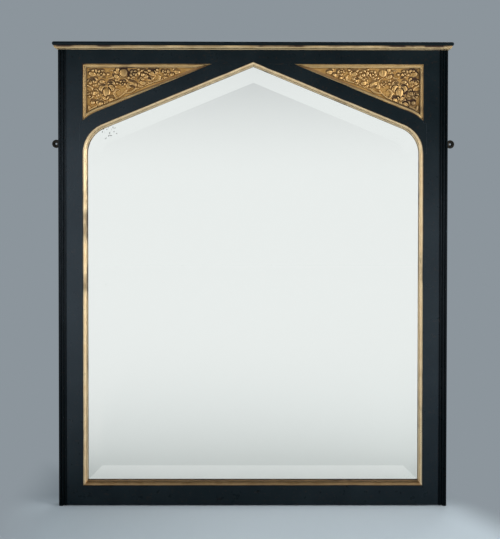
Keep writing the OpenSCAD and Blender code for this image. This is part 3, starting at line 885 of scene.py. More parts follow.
@dataclass(frozen=True)
class Section:
    """A moulding's section, as corners (depth behind the face, inset from the outer edge)."""

    corners: tuple[Flat, ...]
    ease: float = 0.35 * MM
    ease_share: float = 0.4
    ease_steps: int = 2
    flat_deg: float = 25.0
    flat_crest: float = 0.25
    # Flat corners higher than this are marked as hollow, for painted shade; 1 m marks none.
    dirty_above: float = 1.0

    def eased(self) -> tuple[list[Flat], list[float], list[float]]:
        """Rounds the corners, as gesso does.

        Returns:
            The places, and for each place how far it lies in a hollow and on a crest.
        """
        places, recess, crest = [], [], []
        count = len(self.corners)
        for i, corner in enumerate(self.corners):
            here, before, after = (Vector(p) for p in (
                corner, self.corners[i - 1], self.corners[(i + 1) % count]))
            run_in, run_out = here - before, after - here
            bend = run_in.angle_signed(run_out, 0.0)
            if abs(bend) < math.radians(self.flat_deg):
                places.append(tuple(here))
                recess.append(float(corner[1] > self.dirty_above))
                crest.append(self.flat_crest)
                continue
            reach = min(self.ease, *(self.ease_share * run.length for run in (run_in, run_out)))
            start, stop = here - run_in.normalized() * reach, here + run_out.normalized() * reach
            for k in range(self.ease_steps + 1):
                t = k / self.ease_steps
                point = start.lerp(here, t).lerp(here.lerp(stop, t), t)
                places.append(tuple(point))
                recess.append(1.0 if bend > 0 else 0.0)
                crest.append(0.0 if bend > 0 else 1.0)
        return places, recess, crest

    def pattern(self) -> bpy.types.Object:
        """Draws the section for the moulding tool, its first axis to the front.

        Returns:
            The drawn section.
        """
        places, recess, crest = self.eased()
        count = len(places)
        mesh = mesh_of("section", [(-depth, inset, 0.0) for depth, inset in places],
                       edges=[(i, (i + 1) % count) for i in range(count)])
        write_attribute(mesh, "recess", recess)
        write_attribute(mesh, "crest", crest)
        return new_object("section", mesh)


@dataclass(frozen=True)
class MitrePlane:
    """A plane that a moulding is cut to, with its normal away from the moulding."""

    point: Place
    normal: Place


def run_moulding(tool: MouldingTool, name: str, section: Section,
                 path: list[Place], start: MitrePlane, end: MitrePlane,
                 material: bpy.types.Material, front: Place = FRONT
                 ) -> bpy.types.Object:
    """Makes one length of moulding with closed, mitred ends.

    Args:
        tool: The Geometry Nodes tool.
        name: The piece's name.
        section: The moulding's section.
        path: Points that the section's outer edge follows.
        start: The plane at the path's start.
        end: The plane at its end.
        material: The finish.
        front: The way that the section faces.

    Returns:
        The piece.
    """
    base = mesh_of(name, path, edges=[(i, i + 1) for i in range(len(path) - 1)])
    pattern = section.pattern()
    piece = tool.run(name, base, {
        "Section": pattern, "Front": front, "Start Point": start.point,
        "Start Normal": start.normal, "End Point": end.point, "End Normal": end.normal,
        "Material": material})
    bpy.data.objects.remove(pattern)
    piece.data.attributes.remove(piece.data.attributes[tool.heading])
    with reworked(piece.data) as work:
        bmesh.ops.remove_doubles(work, verts=work.verts, dist=WELD)
        close_holes(work)
    smooth(piece.data, MOULDING_SHARP_DEG)
    return piece


@dataclass
class GiltSlip:
    """The gilt slip round the plate: two sides, the bottom, and two lengths round the arch."""

    at: Layout
    line: ArchLine
    tool: MouldingTool
    width: float = 10 * MM
    sink: float = 1 * MM
    fillet: float = 1.5 * MM
    quirk: float = 0.8 * MM
    sight: float = 14 * MM
    back: float = 20.4 * MM
    haunch_steps: int = 40
    round_steps: int = 10

    def section(self) -> Section:
        """The slip's section: a fillet, a quarter round, and a fillet at the glass.

        Returns:
            The section.
        """
        r = self.width - 2 * self.fillet
        round_depth = self.sink + self.quirk + r
        curve = [(round_depth - r * math.cos(a), self.fillet + r * math.sin(a))
                 for a in turns(QUARTER, self.round_steps)]
        return Section((
            (self.back, 0.0), (self.sink, 0.0), (self.sink, self.fillet), *curve,
            (self.sight, self.fillet + r), (self.sight, self.width), (self.back, self.width)))

    def build(self) -> None:
        """Makes the five lengths."""
        y, x, low, spring = self.at.face_y, self.at.open_x, self.at.sill_z, self.at.spring_z
        material = GILDING.material()
        for side in Side:
            s = side.value
            corner = MitrePlane((s * x, y, low), (s * DIAGONAL, 0.0, -DIAGONAL))
            butt = MitrePlane((s * x, y, spring), (0.0, 0.0, 1.0))
            path = [(s * x, y, spring), (s * x, y, low)]
            ends = (butt, corner)
            point = MitrePlane((0.0, y, self.at.apex_z), (-s, 0.0, 0.0))
            seat = MitrePlane((s * x, y, spring), (0.0, 0.0, -1.0))
            round_path = [(s * px, y, pz) for px, pz in
                          self.line.haunch(0.0, self.haunch_steps)]
            beyond = self.width * math.tan(self.line.slope)
            round_path.append(
                (-s * beyond, y, self.at.apex_z + beyond * math.tan(self.line.slope)))
            round_ends = (seat, point)
            if side is Side.LEFT:
                path, ends = path[::-1], ends[::-1]
            else:
                round_path, round_ends = round_path[::-1], round_ends[::-1]
            name = side.word + "_slip"
            hand_over(run_moulding(self.tool, name + "_gilt", self.section(), path, *ends,
                                   material), "gilding", name)
            name = side.word + "_arch_slip"
            hand_over(run_moulding(self.tool, name + "_gilt", self.section(), round_path,
                                   *round_ends, material), "gilding", name)
        # The bottom length gets the darker copy of the gilding: painted shade.
        path = [(x, y, low), (-x, y, low)]
        hand_over(run_moulding(
            self.tool, "bottom_slip_gilt", self.section(), path,
            MitrePlane((x, y, low), (DIAGONAL, 0.0, DIAGONAL)),
            MitrePlane((-x, y, low), (-DIAGONAL, 0.0, DIAGONAL)), GILT_FOOT_SHADED.material()),
            "gilding", "bottom_slip")


@dataclass
class Cornice:
    """The gilt ovolo under the cap: a front length and two returns."""

    at: Layout
    tool: MouldingTool
    height: float = 10 * MM
    fillet: float = 1 * MM
    round_steps: int = 12
    # Above this share of its height, under the cap, the ovolo gets painted shade.
    dusty_from: float = 0.55

    def section(self) -> Section:
        """The ovolo's section, as (behind the wall, up from the bottom).

        Returns:
            The section.
        """
        r = self.height - self.fillet
        curve = [(-self.fillet - r * math.sin(a), self.height - r * math.cos(a))
                 for a in turns(QUARTER, self.round_steps)]
        return Section(((0.0, 0.0), (-self.fillet, 0.0), *curve, (0.0, self.height)),
                       dirty_above=self.dusty_from * self.height)

    def build(self) -> None:
        """Makes the front length and the returns."""
        x, y, z, back = self.at.half_w, self.at.face_y, self.at.cornice_z, self.at.back_y
        out = self.height
        material = GILT_CORNICE.material()
        hand_over(run_moulding(
            self.tool, "cornice_front_gilt", self.section(),
            [(x + out, y, z), (-x - out, y, z)],
            MitrePlane((x, y, z), (DIAGONAL, DIAGONAL, 0.0)),
            MitrePlane((-x, y, z), (-DIAGONAL, DIAGONAL, 0.0)), material),
            "gilding", "cornice_front_moulding")
        for side in Side:
            s = side.value
            mitre = MitrePlane((s * x, y, z), (-s * DIAGONAL, -DIAGONAL, 0.0))
            cut = MitrePlane((s * x, back, z), (0.0, 1.0, 0.0))
            path = [(s * x, back, z), (s * x, y - out, z)]
            ends = (cut, mitre)
            if side is Side.LEFT:
                path, ends = path[::-1], ends[::-1]
            node = f"cornice_{side.word}_return"
            hand_over(run_moulding(self.tool, node + "_gilt", self.section(), path, *ends,
                                   material, (float(s), 0.0, 0.0)), "gilding", node)


# ---- Black frame ----

FLAT_DEG = 0.3


def eased_copy(node: str, name: str, width: float, face: bpy.types.Material,
               arris: bpy.types.Material, sharp_deg: float = 40.0) -> bpy.types.Object:
    """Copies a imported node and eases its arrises.

    Args:
        node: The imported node.
        name: The piece's name.
        width: The width of the eased arris.
        face: The finish of the faces.
        arris: The finish of the eased arrises.
        sharp_deg: The least turn of an edge that is eased.

    Returns:
        The piece.
    """
    work = bmesh.new()
    work.from_mesh(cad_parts[node].data)
    bmesh.ops.remove_doubles(work, verts=work.verts, dist=WELD)
    bmesh.ops.dissolve_limit(work, angle_limit=math.radians(FLAT_DEG), verts=work.verts,
                             edges=work.edges, use_dissolve_boundaries=False)
    work.verts.index_update()
    mesh = mesh_of(name, [tuple(v.co) for v in work.verts],
                   [[v.index for v in f.verts] for f in work.faces])
    work.free()
    mesh.materials.append(face)
    mesh.materials.append(arris)
    piece = new_object(name, mesh)
    smooth(mesh, sharp_deg)
    bevel = piece.modifiers.new("eased", "BEVEL")
    bevel.width = width
    bevel.segments = 2
    bevel.limit_method = "ANGLE"
    bevel.angle_limit = math.radians(sharp_deg)
    bevel.material = 1
    bevel.harden_normals = True
    baked(piece)
    return piece


@dataclass
class BlackFrame:
    """The ebonised members: stiles, rails, arch braces, reeded mouldings and the cap."""

    arris: float = 0.6 * MM
    upright: tuple[str, ...] = ("left_stile", "right_stile")
    reeded: tuple[str, ...] = ("left_reeded_moulding", "right_reeded_moulding")
    across: tuple[str, ...] = ("top_rail", "bottom_rail", "left_arch_brace",
                               "right_arch_brace", "cornice_cap")

    def build(self) -> None:
        """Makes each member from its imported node, with eased arrises."""
        # The reeds get the darker, duller copy of the black: painted shade.
        for names, face, arris in ((self.upright, BLACK_UPRIGHT, BLACK_ARRIS),
                                   (self.reeded, BLACK_REEDS_SHADED, BLACK_REEDS_SHADED),
                                   (self.across, BLACK_ACROSS, BLACK_ARRIS)):
            for name in names:
                hand_over(eased_copy(name, name + "_black", self.arris, face.material(),
                                     arris.material()), "ebonised_wood", name)


# ---- Plate ----

@dataclass
class MirrorPlate:
    """The bevelled plate: clear glass in front of a silvered back."""

    at: Layout
    line: ArchLine
    gap: float = 2 * MM
    bevel: float = 46 * MM
    depth: float = 18 * MM
    drop: float = 3 * MM
    thickness: float = 6 * MM
    crest: float = 0.5 * MM
    steps: int = 28

    def build(self) -> None:
        """Makes the plate as one closed mesh with a silvered back face."""
        top = self.depth + self.drop * 0.5 * self.crest / self.bevel
        rings = [(self.gap + self.bevel + self.crest, self.depth),
                 (self.gap + self.bevel, top),
                 (self.gap, self.depth + self.drop), (self.gap, self.depth + self.thickness)]
        points, count = [], 0
        for inset, depth in rings:
            ring = self.line.outline(inset, self.steps)
            count = len(ring)
            points += [(x, self.at.face_y + depth, z) for x, z in ring]
        faces = [list(range(count))]
        for k in range(len(rings) - 1):
            a, b = k * count, (k + 1) * count
            faces += [[a + i, b + i, b + (i + 1) % count, a + (i + 1) % count]
                      for i in range(count)]
        faces.append(list(range(3 * count, 4 * count))[::-1])
        mesh = mesh_of("bevelled_plate", points, faces)
        mesh.materials.append(PLATE_GLASS.material())
        mesh.materials.append(SILVERING.material())
        with reworked(mesh) as work:
            work.faces.ensure_lookup_table()
            work.faces[-1].material_index = 1
        self.shade(mesh, count)
        hand_over(new_object("bevelled_plate", mesh), "mirror_glass", "mirror_plate")

    def shade(self, mesh: bpy.types.Mesh, count: int) -> None:
        """Keeps every arris crisp, and only the bevel round the haunches smooth.

        Args:
            mesh: The plate's mesh.
            count: The count of points in each ring.
        """
        first = {2 + i for i in range(self.steps + 1)}
        last = {self.steps + 4 + i for i in range(self.steps + 1)}
        for polygon in mesh.polygons:
            polygon.use_smooth = 0 < polygon.index < len(mesh.polygons) - 1
        for edge in mesh.edges:
            a, b = (v % count for v in edge.vertices)
            edge.use_edge_sharp = not (a == b and (a in first or a in last))


# ---- Spandrels ----

@dataclass(frozen=True)
class Leaf:
    """A vine leaf. Its places count in from the stile and down from the top rail, in mm."""

    u: float
    v: float
    size: float
    heading: float
    lobes: int = 5
    rise: float = 6.5


# The vine of one spandrel, in mm in from the stile and down from the top rail.
# Stems: half the width at the start and at the end, the height, and the places along it.
STEMS = (
    (3.6, 3.0, 5.0, [(20, 120), (32, 112), (56, 103), (84, 93), (104, 80), (116, 66),
                     (120, 52)]),
    (3.2, 2.0, 4.6, [(122, 72), (142, 64), (158, 57), (176, 50), (196, 44), (214, 39),
                     (232, 32), (246, 25)]),
    (3.4, 3.0, 6.6, [(13, 56), (23, 61), (28, 71), (28, 83), (21, 92)]),
    (2.6, 2.2, 4.6, [(86, 90), (60, 98), (40, 92), (36, 76), (44, 60)]),
    (2.6, 2.0, 4.6, [(120, 52), (114, 40), (100, 34), (88, 38)]),
)
# Leaves that curl over, seen from the side: half the width at the start and at the end, the
# height and the scoop of each, and the places along it.
CURL_FORM = (3.8, 1.6, 6.2, 0.25)
CURLS = (
    [(66, 37), (76, 36), (83, 28), (80, 18), (70, 17)],
    [(96, 92), (86, 84), (82, 74), (90, 66), (97, 70)],
    [(15, 108), (19, 119), (27, 121)],
    [(184, 47), (198, 42), (202, 32), (196, 27)],
    [(112, 76), (128, 72), (138, 62), (132, 54)],
)
LEAVES = (
    Leaf(36, 29, 18, 195, 3), Leaf(36, 48, 15, 190, 3), Leaf(40, 74, 14, 165, 3),
    Leaf(49, 86, 15, 20, 3), Leaf(76, 56, 14, 320, 3), Leaf(62, 57, 25, 88, 5, 7.4),
    Leaf(96, 38, 14, 215, 3), Leaf(119, 46, 21, 28, 3, 7.0), Leaf(92, 24, 13, 265, 3),
    Leaf(146, 47, 16, 12, 3), Leaf(170, 43, 14, 345, 3), Leaf(190, 31, 17, 212, 3, 7.0),
    Leaf(210, 33, 12, 25, 3), Leaf(236, 20, 16, 4, 3, 6.4), Leaf(38, 108, 14, 335, 3),
    Leaf(66, 96, 13, 340, 3), Leaf(226, 32, 12, 330, 3), Leaf(17, 72, 11, 100, 3),
    Leaf(21, 42, 11, 100, 3),
)
# Flowers: the middle, the radius and the count of petals.
FLOWERS = ((48, 25, 10.5, 5), (133, 26, 10.5, 5), (104, 51, 8.5, 5), (157, 28, 14, 6),
           (216, 19, 10.5, 4))
# Single lobes: the root, the heading, the length, half the width and the height.
LOBES = ((107, 8, 92, 26, 10.5, 7.2), (58, 46, 180, 14, 5.0, 6.8))
# Berries: the middle and the radius.
BERRY_TOP = 7.2
BERRIES = ((157, 28, 5.6), (26, 101, 6.0), (66, 27, 4.0), (120, 36, 3.8), (174, 17, 4.4),
           (195, 15, 3.8), (146, 14, 3.6), (26, 17, 4.0), (90, 51, 3.6), (18, 85, 3.4))
# Hollows: the middle, half the width, half the length and the heading.
HOLLOW_FLOOR = 0.3
HOLLOWS = (
    (22, 13.6, 1.8, 6, 0), (46, 13.2, 2.0, 6.5, 0), (25, 37, 2.6, 6, 10), (56, 34, 2.6, 4, 30),
    (79.5, 28, 2.4, 3.6, 60), (106, 11.5, 1.6, 9, 0), (120, 25, 2.6, 5, 90),
    (158, 12.6, 1.8, 7, 0), (147, 35, 2.4, 5, 140), (181, 13, 1.8, 8, 0), (53, 54, 2.4, 5, 0),
    (73, 48, 2.6, 5, 0), (46, 73, 2.4, 5, 45), (75, 84, 3.0, 6, 350), (127, 43, 2.4, 6, 20),
    (130, 58, 2.6, 7, 15), (175, 37, 2.2, 5, 10), (248, 14, 1.0, 7, 4), (27, 93, 1.8, 6, 0),
    (206, 17, 2.2, 3.4, 90), (227, 15, 1.8, 3, 90),
)


@dataclass
class CarvedField:
    """The height of the carving over a fine grid, in millimetres above the sunk ground."""

    line: ArchLine
    border: float = 10.0
    brace_w: float = 36.0
    reach_u: float = 306.0
    reach_v: float = 152.0
    pitch: float = 0.55
    ground: float = 0.9
    tallest: float = 7.8
    wall_w: float = 0.8
    wall_h: float = 9.0
    cut_w: float = 0.8
    cut_above: float = 2.4
    belly: float = 0.58
    tuck: float = 1.5
    gesso_mm: float = 0.5
    wave_mm: float = 1.5
    punch_mm: float = 0.55
    punched: float = 0.015
    seed: int = 12

    def __post_init__(self) -> None:
        """Lays out the grid and the ground."""
        at = self.line.at
        self.us = np.arange(self.border - 2, self.reach_u, self.pitch)
        self.vs = np.arange(self.border - 2, self.reach_v, self.pitch)
        self.u, self.v = np.meshgrid(self.us, self.vs, indexing="ij")
        x, z = at.open_x / MM - self.u, at.rail_z / MM - self.v
        gap = self.line.outside(x * MM, z * MM) / MM
        self.room = np.minimum(np.minimum(self.u, self.v), gap - self.brace_w) - self.border
        self.height = np.zeros_like(self.u)
        self.pits = np.zeros_like(self.u)

    def window(self, u: float, v: float, reach: float) -> tuple[slice, slice]:
        """The part of the grid within reach of a place.

        Args:
            u: Where the place lies, in from the stile.
            v: Where the place lies, down from the rail.
            reach: How far round it the part goes.

        Returns:
            The part's rows and columns.
        """
        i, j = ((u - self.us[0]) / self.pitch, (v - self.vs[0]) / self.pitch)
        n = reach / self.pitch + 1
        return (slice(max(0, int(i - n)), max(0, int(i + n))),
                slice(max(0, int(j - n)), max(0, int(j + n))))

    def raise_to(self, where: tuple[slice, slice], height: np.ndarray) -> None:
        """Raises the carving to a height where it is lower."""
        self.height[where] = np.maximum(self.height[where], height)

    def lay(self, where: tuple[slice, slice], form: np.ndarray, gap: np.ndarray,
            away_v: np.ndarray) -> None:
        """Lays one form over the carving, with a cut round it that is widest above it.

        Args:
            where: The part of the grid.
            form: The form's height, 0 outside it.
            gap: How far outside the form each place lies, in mm, under 0 inside it.
            away_v: How far down from the form's middle each place lies.
        """
        above = np.clip(-away_v / (np.abs(away_v) + 3.0), 0, 1)
        cut = self.cut_w + self.cut_above * above
        wall = np.clip((gap - cut) / self.wall_w, 0, 1)
        height = self.height[where]
        cleared = np.minimum(height, self.ground + wall * self.wall_h)
        height = np.where((gap > 0) & (wall < 1), cleared, height)
        inside = (form > 0) & (form >= height * 0.8)
        self.height[where] = np.where(form > 0, np.maximum(form, height), height)
        # Painted shadow in the cut round the form, strongest above it.
        pits = np.clip(1.6 - gap / cut, 0, 1) * (0.2 + 0.9 * above) * (gap > -0.6)
        self.pits[where] = np.where(inside, 0.0, np.maximum(self.pits[where], pits))

    def lobe(self, u: float, v: float, heading: float, length: float, width: float,
             rise: float, vein: float = 0.9) -> None:
        """Carves one plump lobe, broad at its tip, with a vein cut along it.

        Args:
            u: Where its root lies, in from the stile.
            v: Where its root lies, down from the rail.
            heading: The way it points, in degrees, from inwards towards downwards.
            length: Its length.
            width: Half its width.
            rise: Its greatest height.
            vein: The depth of the groove along it.
        """
        where = self.window(u, v, length * 1.1 + width + 3)
        a = math.radians(heading)
        du, dv = self.u[where] - u, self.v[where] - v
        t = (du * math.cos(a) + dv * math.sin(a)) / length
        across = -du * math.sin(a) + dv * math.cos(a)
        from_belly = (t - self.belly) / (1 - self.belly)
        round_end = np.sqrt(np.clip(1 - from_belly ** 2, 0, 1))
        half = width * np.maximum(round_end, 0.34 * ((t > 0) & (t < 0.6))) + 1e-3
        share = np.clip(np.abs(across) / half, 0, 1)
        form = rise * (0.66 + 0.34 * t) * np.sqrt(1 - share ** 5) * (0.6 + 0.4 * round_end)
        groove = vein * np.exp(-(across / 0.7) ** 2) * np.clip(1.7 * (0.9 - t), 0, 1)
        form = np.where((t > 0) & (t < 1) & (share < 1), form - groove, 0.0)
        gap = (np.hypot(from_belly, across / width) - 1) * width
        self.lay(where, form, gap, dv - self.belly * length * math.sin(a))

    def leaf(self, leaf: Leaf) -> None:
        """Carves a vine leaf of three or five plump lobes, the middle one on top.

        Args:
            leaf: The leaf.
        """
        pairs = (112.0, 58.0) if leaf.lobes == 5 else (60.0,)
        for turn in pairs:
            for way in (-1, 1):
                self.lobe(leaf.u, leaf.v, leaf.heading + way * turn, leaf.size * 0.92,
                          leaf.size * 0.36, leaf.rise - 1.0)
        self.lobe(leaf.u, leaf.v, leaf.heading, leaf.size * 1.18, leaf.size * 0.40, leaf.rise)

    def flower(self, u: float, v: float, r: float, petals: int = 5, rise: float = 6.6) -> None:
        """Carves an open flower: cupped petals, a drilled ring, and a boss.

        Args:
            u: Where its middle lies, in from the stile.
            v: Where its middle lies, down from the rail.
            r: Its radius.
            petals: The count of its petals.
            rise: Their height.
        """
        for k in range(petals):
            self.lobe(u, v, 90 + 360 * k / petals, r * 1.1, r * 0.46, rise, 0.5)
        self.dig(u, v, r * 0.42, 1.4)
        self.dome(u, v, r * 0.28, rise * 0.9)

    def dome(self, u: float, v: float, r: float, top: float) -> None:
        """Carves a berry or a boss.

        Args:
            u: Where its middle lies, in from the stile.
            v: Where its middle lies, down from the rail.
            r: Its radius.
            top: The height of its top.
        """
        where = self.window(u, v, r + 4)
        away = self.v[where] - v
        gap = np.hypot(self.u[where] - u, away)
        cap = np.sqrt(np.clip(1 - (gap / r) ** 2, 0, 1))
        self.lay(where, np.where(gap < r, top - r * 0.8 * (1 - cap), 0.0), gap - r, away)

    def dig(self, u: float, v: float, r: float, floor: float, heading: float = 0.0,
            length: float | None = None) -> None:
        """Cuts a hollow down to floor, with the steep walls of a gouge cut.

        Args:
            u: Where its middle lies, in from the stile.
            v: Where its middle lies, down from the rail.
            r: Its radius, or half its width where it is long.
            floor: The height of its floor.
            heading: The way it runs, in degrees, where it is long.
            length: Half its length, where it is long.
        """
        length = length or r
        where = self.window(u, v, length + 2)
        a = math.radians(heading)
        du, dv = self.u[where] - u, self.v[where] - v
        along = (du * math.cos(a) + dv * math.sin(a)) / length
        across = (-du * math.sin(a) + dv * math.cos(a)) / r
        gap = np.hypot(along, across)
        wall = np.clip((gap - 1) * r / self.wall_w, 0, 1)
        cleared = np.minimum(self.height[where], floor + wall * self.wall_h)
        self.height[where] = np.where(wall < 1, cleared, self.height[where])
        # Painted shade in the hollow.
        self.pits[where] = np.maximum(self.pits[where], np.clip((1.5 - gap) * 2.5, 0, 1))

    def stem(self, places: list[Flat], start_w: float, end_w: float,
             rise: float, scoop: float = 0.0) -> None:
        """Carves a stem that tapers along a smooth line through the places.

        Args:
            places: Places along the stem.
            start_w: Half its width at the start.
            end_w: Half its width at the end.
            rise: Its height.
            scoop: How far its middle is hollowed, as on a curled leaf seen from the side.
        """
        fine = self.curve_through(places)
        steps = len(fine)
        for k, (u, v) in enumerate(fine):
            share = k / (steps - 1)
            half = start_w + (end_w - start_w) * share
            if scoop:
                half = max(0.6, start_w * math.sin(math.pi * (0.1 + 0.84 * share)) ** 0.8)
            where = self.window(u, v, half + 1)
            gap = np.hypot(self.u[where] - u, self.v[where] - v) / half
            body = np.sqrt(np.clip(1 - gap ** 2, 0, 1))
            body = body * (1 - scoop * np.exp(-(gap / 0.45) ** 2))
            self.raise_to(where, rise * (0.3 + 0.7 * body) * (gap < 1))

    def curve_through(self, places: list[Flat]) -> list[Flat]:
        """Fills in a smooth curve through places, a point about every 0.4 mm.

        Args:
            places: The places that it passes.

        Returns:
            The points along it.
        """
        p = np.array([places[0], *places, places[-1]], float)
        out = []
        for a, b, c, d in zip(p[:-3], p[1:-2], p[2:-1], p[3:], strict=True):
            n = max(2, int(np.hypot(*(c - b)) / 0.4))
            for t in np.linspace(0, 1, n, endpoint=False):
                out.append(tuple(0.5 * (2 * b + (c - a) * t + (2 * a - 5 * b + 4 * c - d) * t ** 2
                                        + (3 * b - a - 3 * c + d) * t ** 3)))
        out.append(tuple(p[-1]))
        return out

    def blurred(self, values: np.ndarray, size_mm: float) -> np.ndarray:
        """Softens a field with a Gaussian of that size.

        Args:
            values: The field.
            size_mm: The Gaussian's size.

        Returns:
            The softened field.
        """
        n = int(3 * size_mm / self.pitch)
        taps = np.exp(-0.5 * (np.arange(-n, n + 1) * self.pitch / size_mm) ** 2)
        taps /= taps.sum()
        for axis in (0, 1):
            pad = [(n, n) if k == axis else (0, 0) for k in (0, 1)]
            wide = np.pad(values, pad, mode="edge")
            values = sum(w * np.take(wide, np.arange(values.shape[axis]) + k, axis=axis)
                         for k, w in enumerate(taps))
        return values

    def finish(self) -> tuple[np.ndarray, np.ndarray, np.ndarray]:
        """Softens the carving with gesso, works the ground and finds the hollows and crests.

        Returns:
            The height, how dark each place is painted with shade and shadow, and how far on a
            crest.
        """
        draw = np.random.default_rng(self.seed)
        keep = np.clip(self.room / 1.4, 0, 1)
        shape = self.blurred(self.height, self.gesso_mm) * keep
        wave = self.blurred(draw.normal(0, 1, shape.shape), self.wave_mm) * 0.9
        marks = (draw.random(shape.shape) > 1 - self.punched) * 1.0
        punched = self.blurred(marks, self.punch_mm) * 5.0
        floor = self.ground + 0.25 * wave - 0.5 * punched
        height = np.maximum(shape, np.clip(floor, 0.25, 1.6))
        height = np.minimum(height, self.tallest)
        wide = self.blurred(height, 1.8)
        # The darkening for the gilding: painted shade in the hollows, and the painted shadows
        # round the forms.
        recess = 0.22 * np.clip((wide - height) / 2.4, 0, 1) + 1.4 * self.pits * (height < 4)
        near = self.blurred(height, 0.9)
        crest = np.clip((height - near) / 0.4, 0, 1) + 0.3 * np.clip((height - 4.6) / 2, 0, 1)
        return height, np.clip(recess, 0, 1), np.clip(crest, 0, 1)


@dataclass
class Spandrel:
    """One spandrel: a sunk gilt ground, a moulded border on three sides, and carved vine."""

    at: Layout
    line: ArchLine
    tool: MouldingTool
    side: Side
    border: float = 10 * MM
    brace_w: float = 36 * MM
    ground: float = 11 * MM
    lip: float = 0.6 * MM
    fillet: float = 1.9 * MM
    hollow_r: float = 3.1 * MM
    step: float = 0.4 * MM
    bead_r: float = 1.0 * MM
    inner_depth: float = 5.2 * MM
    inner_w: float = 1.4 * MM
    rim_depth: float = 6.5 * MM
    arc_steps: int = 30
    sharp_deg: float = 75.0

    def build(self) -> None:
        """Gives the panel its gilding, and makes the borders and the carving."""
        dress(self.side.word + "_spandrel_panel", GILT_GROUND.material())
        self.build_borders()
        self.build_carving()

    def section(self) -> Section:
        """The border's section: an outer fillet, a hollow, a bead and a low inner fillet.

        Returns:
            The section.
        """
        bottom = self.lip + self.hollow_r
        middle = self.fillet + self.hollow_r + self.step + self.bead_r
        past = middle + self.bead_r
        hollow = [(self.lip + self.hollow_r * math.sin(a),
                   self.fillet + self.hollow_r * (1 - math.cos(a)))
                  for a in turns(QUARTER, 7, 1)]
        bead = [(bottom - self.bead_r * math.sin(a), middle - self.bead_r * math.cos(a))
                for a in turns(math.pi, 8)]
        return Section((
            (self.ground, 0.0), (self.lip, 0.0), (self.lip, self.fillet), *hollow, *bead,
            (self.inner_depth, past), (self.inner_depth, past + self.inner_w),
            (self.rim_depth, self.border), (self.ground, self.border)))

    def place(self, x: float, z: float) -> Place:
        """A place on the frame's face, on this spandrel's side."""
        return (self.side.value * x, self.at.face_y, z)

    def plane(self, point: Flat, normal: Flat) -> MitrePlane:
        """A mitre plane through a place, square to the frame's face."""
        return MitrePlane(self.place(*point), (self.side.value * normal[0], 0.0, normal[1]))

    def foot(self, inset: float) -> Flat:
        """The lower corner of the spandrel, drawn in by inset."""
        r, across = self.line.haunch_r + self.brace_w + inset, self.line.haunch_r - inset
        return self.at.open_x - inset, self.at.spring_z + math.sqrt(r * r - across * across)

    def tip(self, inset: float) -> Flat:
        """The point of the spandrel, drawn in by inset."""
        rise = self.line.apex(-self.brace_w - inset) - self.at.rail_z + inset
        return rise / math.tan(self.line.slope), self.at.rail_z - inset

    def build_borders(self) -> None:
        """Makes the three lengths of border with mitres at their corners."""
        corner = (self.at.open_x, self.at.rail_z)
        tip, foot = self.tip(0.0), self.foot(0.0)
        half = self.line.slope / 2
        tip_cut = (math.sin(half), math.cos(half))
        inner = self.foot(self.border)
        lean = Vector((inner[0] - foot[0], inner[1] - foot[1])).normalized()
        foot_cut = (-lean.y, lean.x)
        if foot_cut[0] > 0:
            foot_cut = (lean.y, -lean.x)
        arc = self.line.haunch(-self.brace_w, self.arc_steps)
        arc = [self.place(*p) for p in arc if p[0] < self.at.open_x + self.border]
        runs = {
            "top": ([self.place(*tip), self.place(*corner)],
                    self.plane(tip, (-tip_cut[0], -tip_cut[1])),
                    self.plane(corner, (DIAGONAL, -DIAGONAL))),
            "side": ([self.place(*corner), self.place(*foot)],
                     self.plane(corner, (-DIAGONAL, DIAGONAL)),
                     self.plane(foot, foot_cut)),
            "arch": ([*arc, self.place(*self.tip(-self.border))],
                     self.plane(foot, (-foot_cut[0], -foot_cut[1])),
                     self.plane(tip, tip_cut)),
        }
        for word, (path, start, end) in runs.items():
            # The upright length gets the darker copy of the gilding: painted shade.
            gilt = GILT_SIDE_SHADED if word == "side" else GILT_BORDER
            if self.side is Side.LEFT:
                path, start, end = path[::-1], end, start
            node = f"{self.side.word}_spandrel_{word}_border"
            hand_over(run_moulding(self.tool, node + "_gilt", self.section(), path, start, end,
                                   gilt.material()), "gilding", node)

    def carve(self) -> CarvedField:
        """Carves the vine: scrolling stems, leaves, flowers and berries.

        Returns:
            The carved field.
        """
        work = CarvedField(self.line)
        for start_w, end_w, rise, places in STEMS:
            work.stem(places, start_w, end_w, rise)
        for places in CURLS:
            work.stem(places, *CURL_FORM)
        for leaf in LEAVES:
            work.leaf(leaf)
        for u, v, r, petals in FLOWERS:
            work.flower(u, v, r, petals)
        for lobe in LOBES:
            work.lobe(*lobe)
        for u, v, r in BERRIES:
            work.dome(u, v, r, BERRY_TOP)
        for u, v, half_w, half_l, heading in HOLLOWS:
            work.dig(u, v, half_w, HOLLOW_FLOOR, heading, half_l)
        return work

    def build_carving(self) -> None:
        """Turns the carved field into a closed mesh that lies on the panel."""
        work = self.carve()
        height, recess, crest = work.finish()
        kept = work.room > -work.tuck
        index = np.full(kept.shape, -1)
        index[kept] = np.arange(kept.sum())
        x = self.side.value * (self.at.open_x - work.u[kept] * MM)
        z = self.at.rail_z - work.v[kept] * MM
        y = self.at.face_y + self.ground - height[kept] * MM
        corners = np.stack([index[:-1, :-1], index[1:, :-1], index[1:, 1:], index[:-1, 1:]], -1)
        quads = corners[(corners >= 0).all(-1)]
        if self.side is Side.LEFT:
            quads = quads[:, ::-1]
        name = self.side.word + "_spandrel_carving"
        mesh = mesh_of(name, np.stack([x, y, z], -1).tolist(), quads.tolist())
        write_attribute(mesh, "recess", recess[kept])
        write_attribute(mesh, "crest", crest[kept])
        self.close_back(mesh)
        smooth(mesh, self.sharp_deg)
        mesh.materials.append(GILT_CARVED.material())
        hand_over(new_object(name, mesh), "gilding", self.side.word + "_spandrel_foliage")

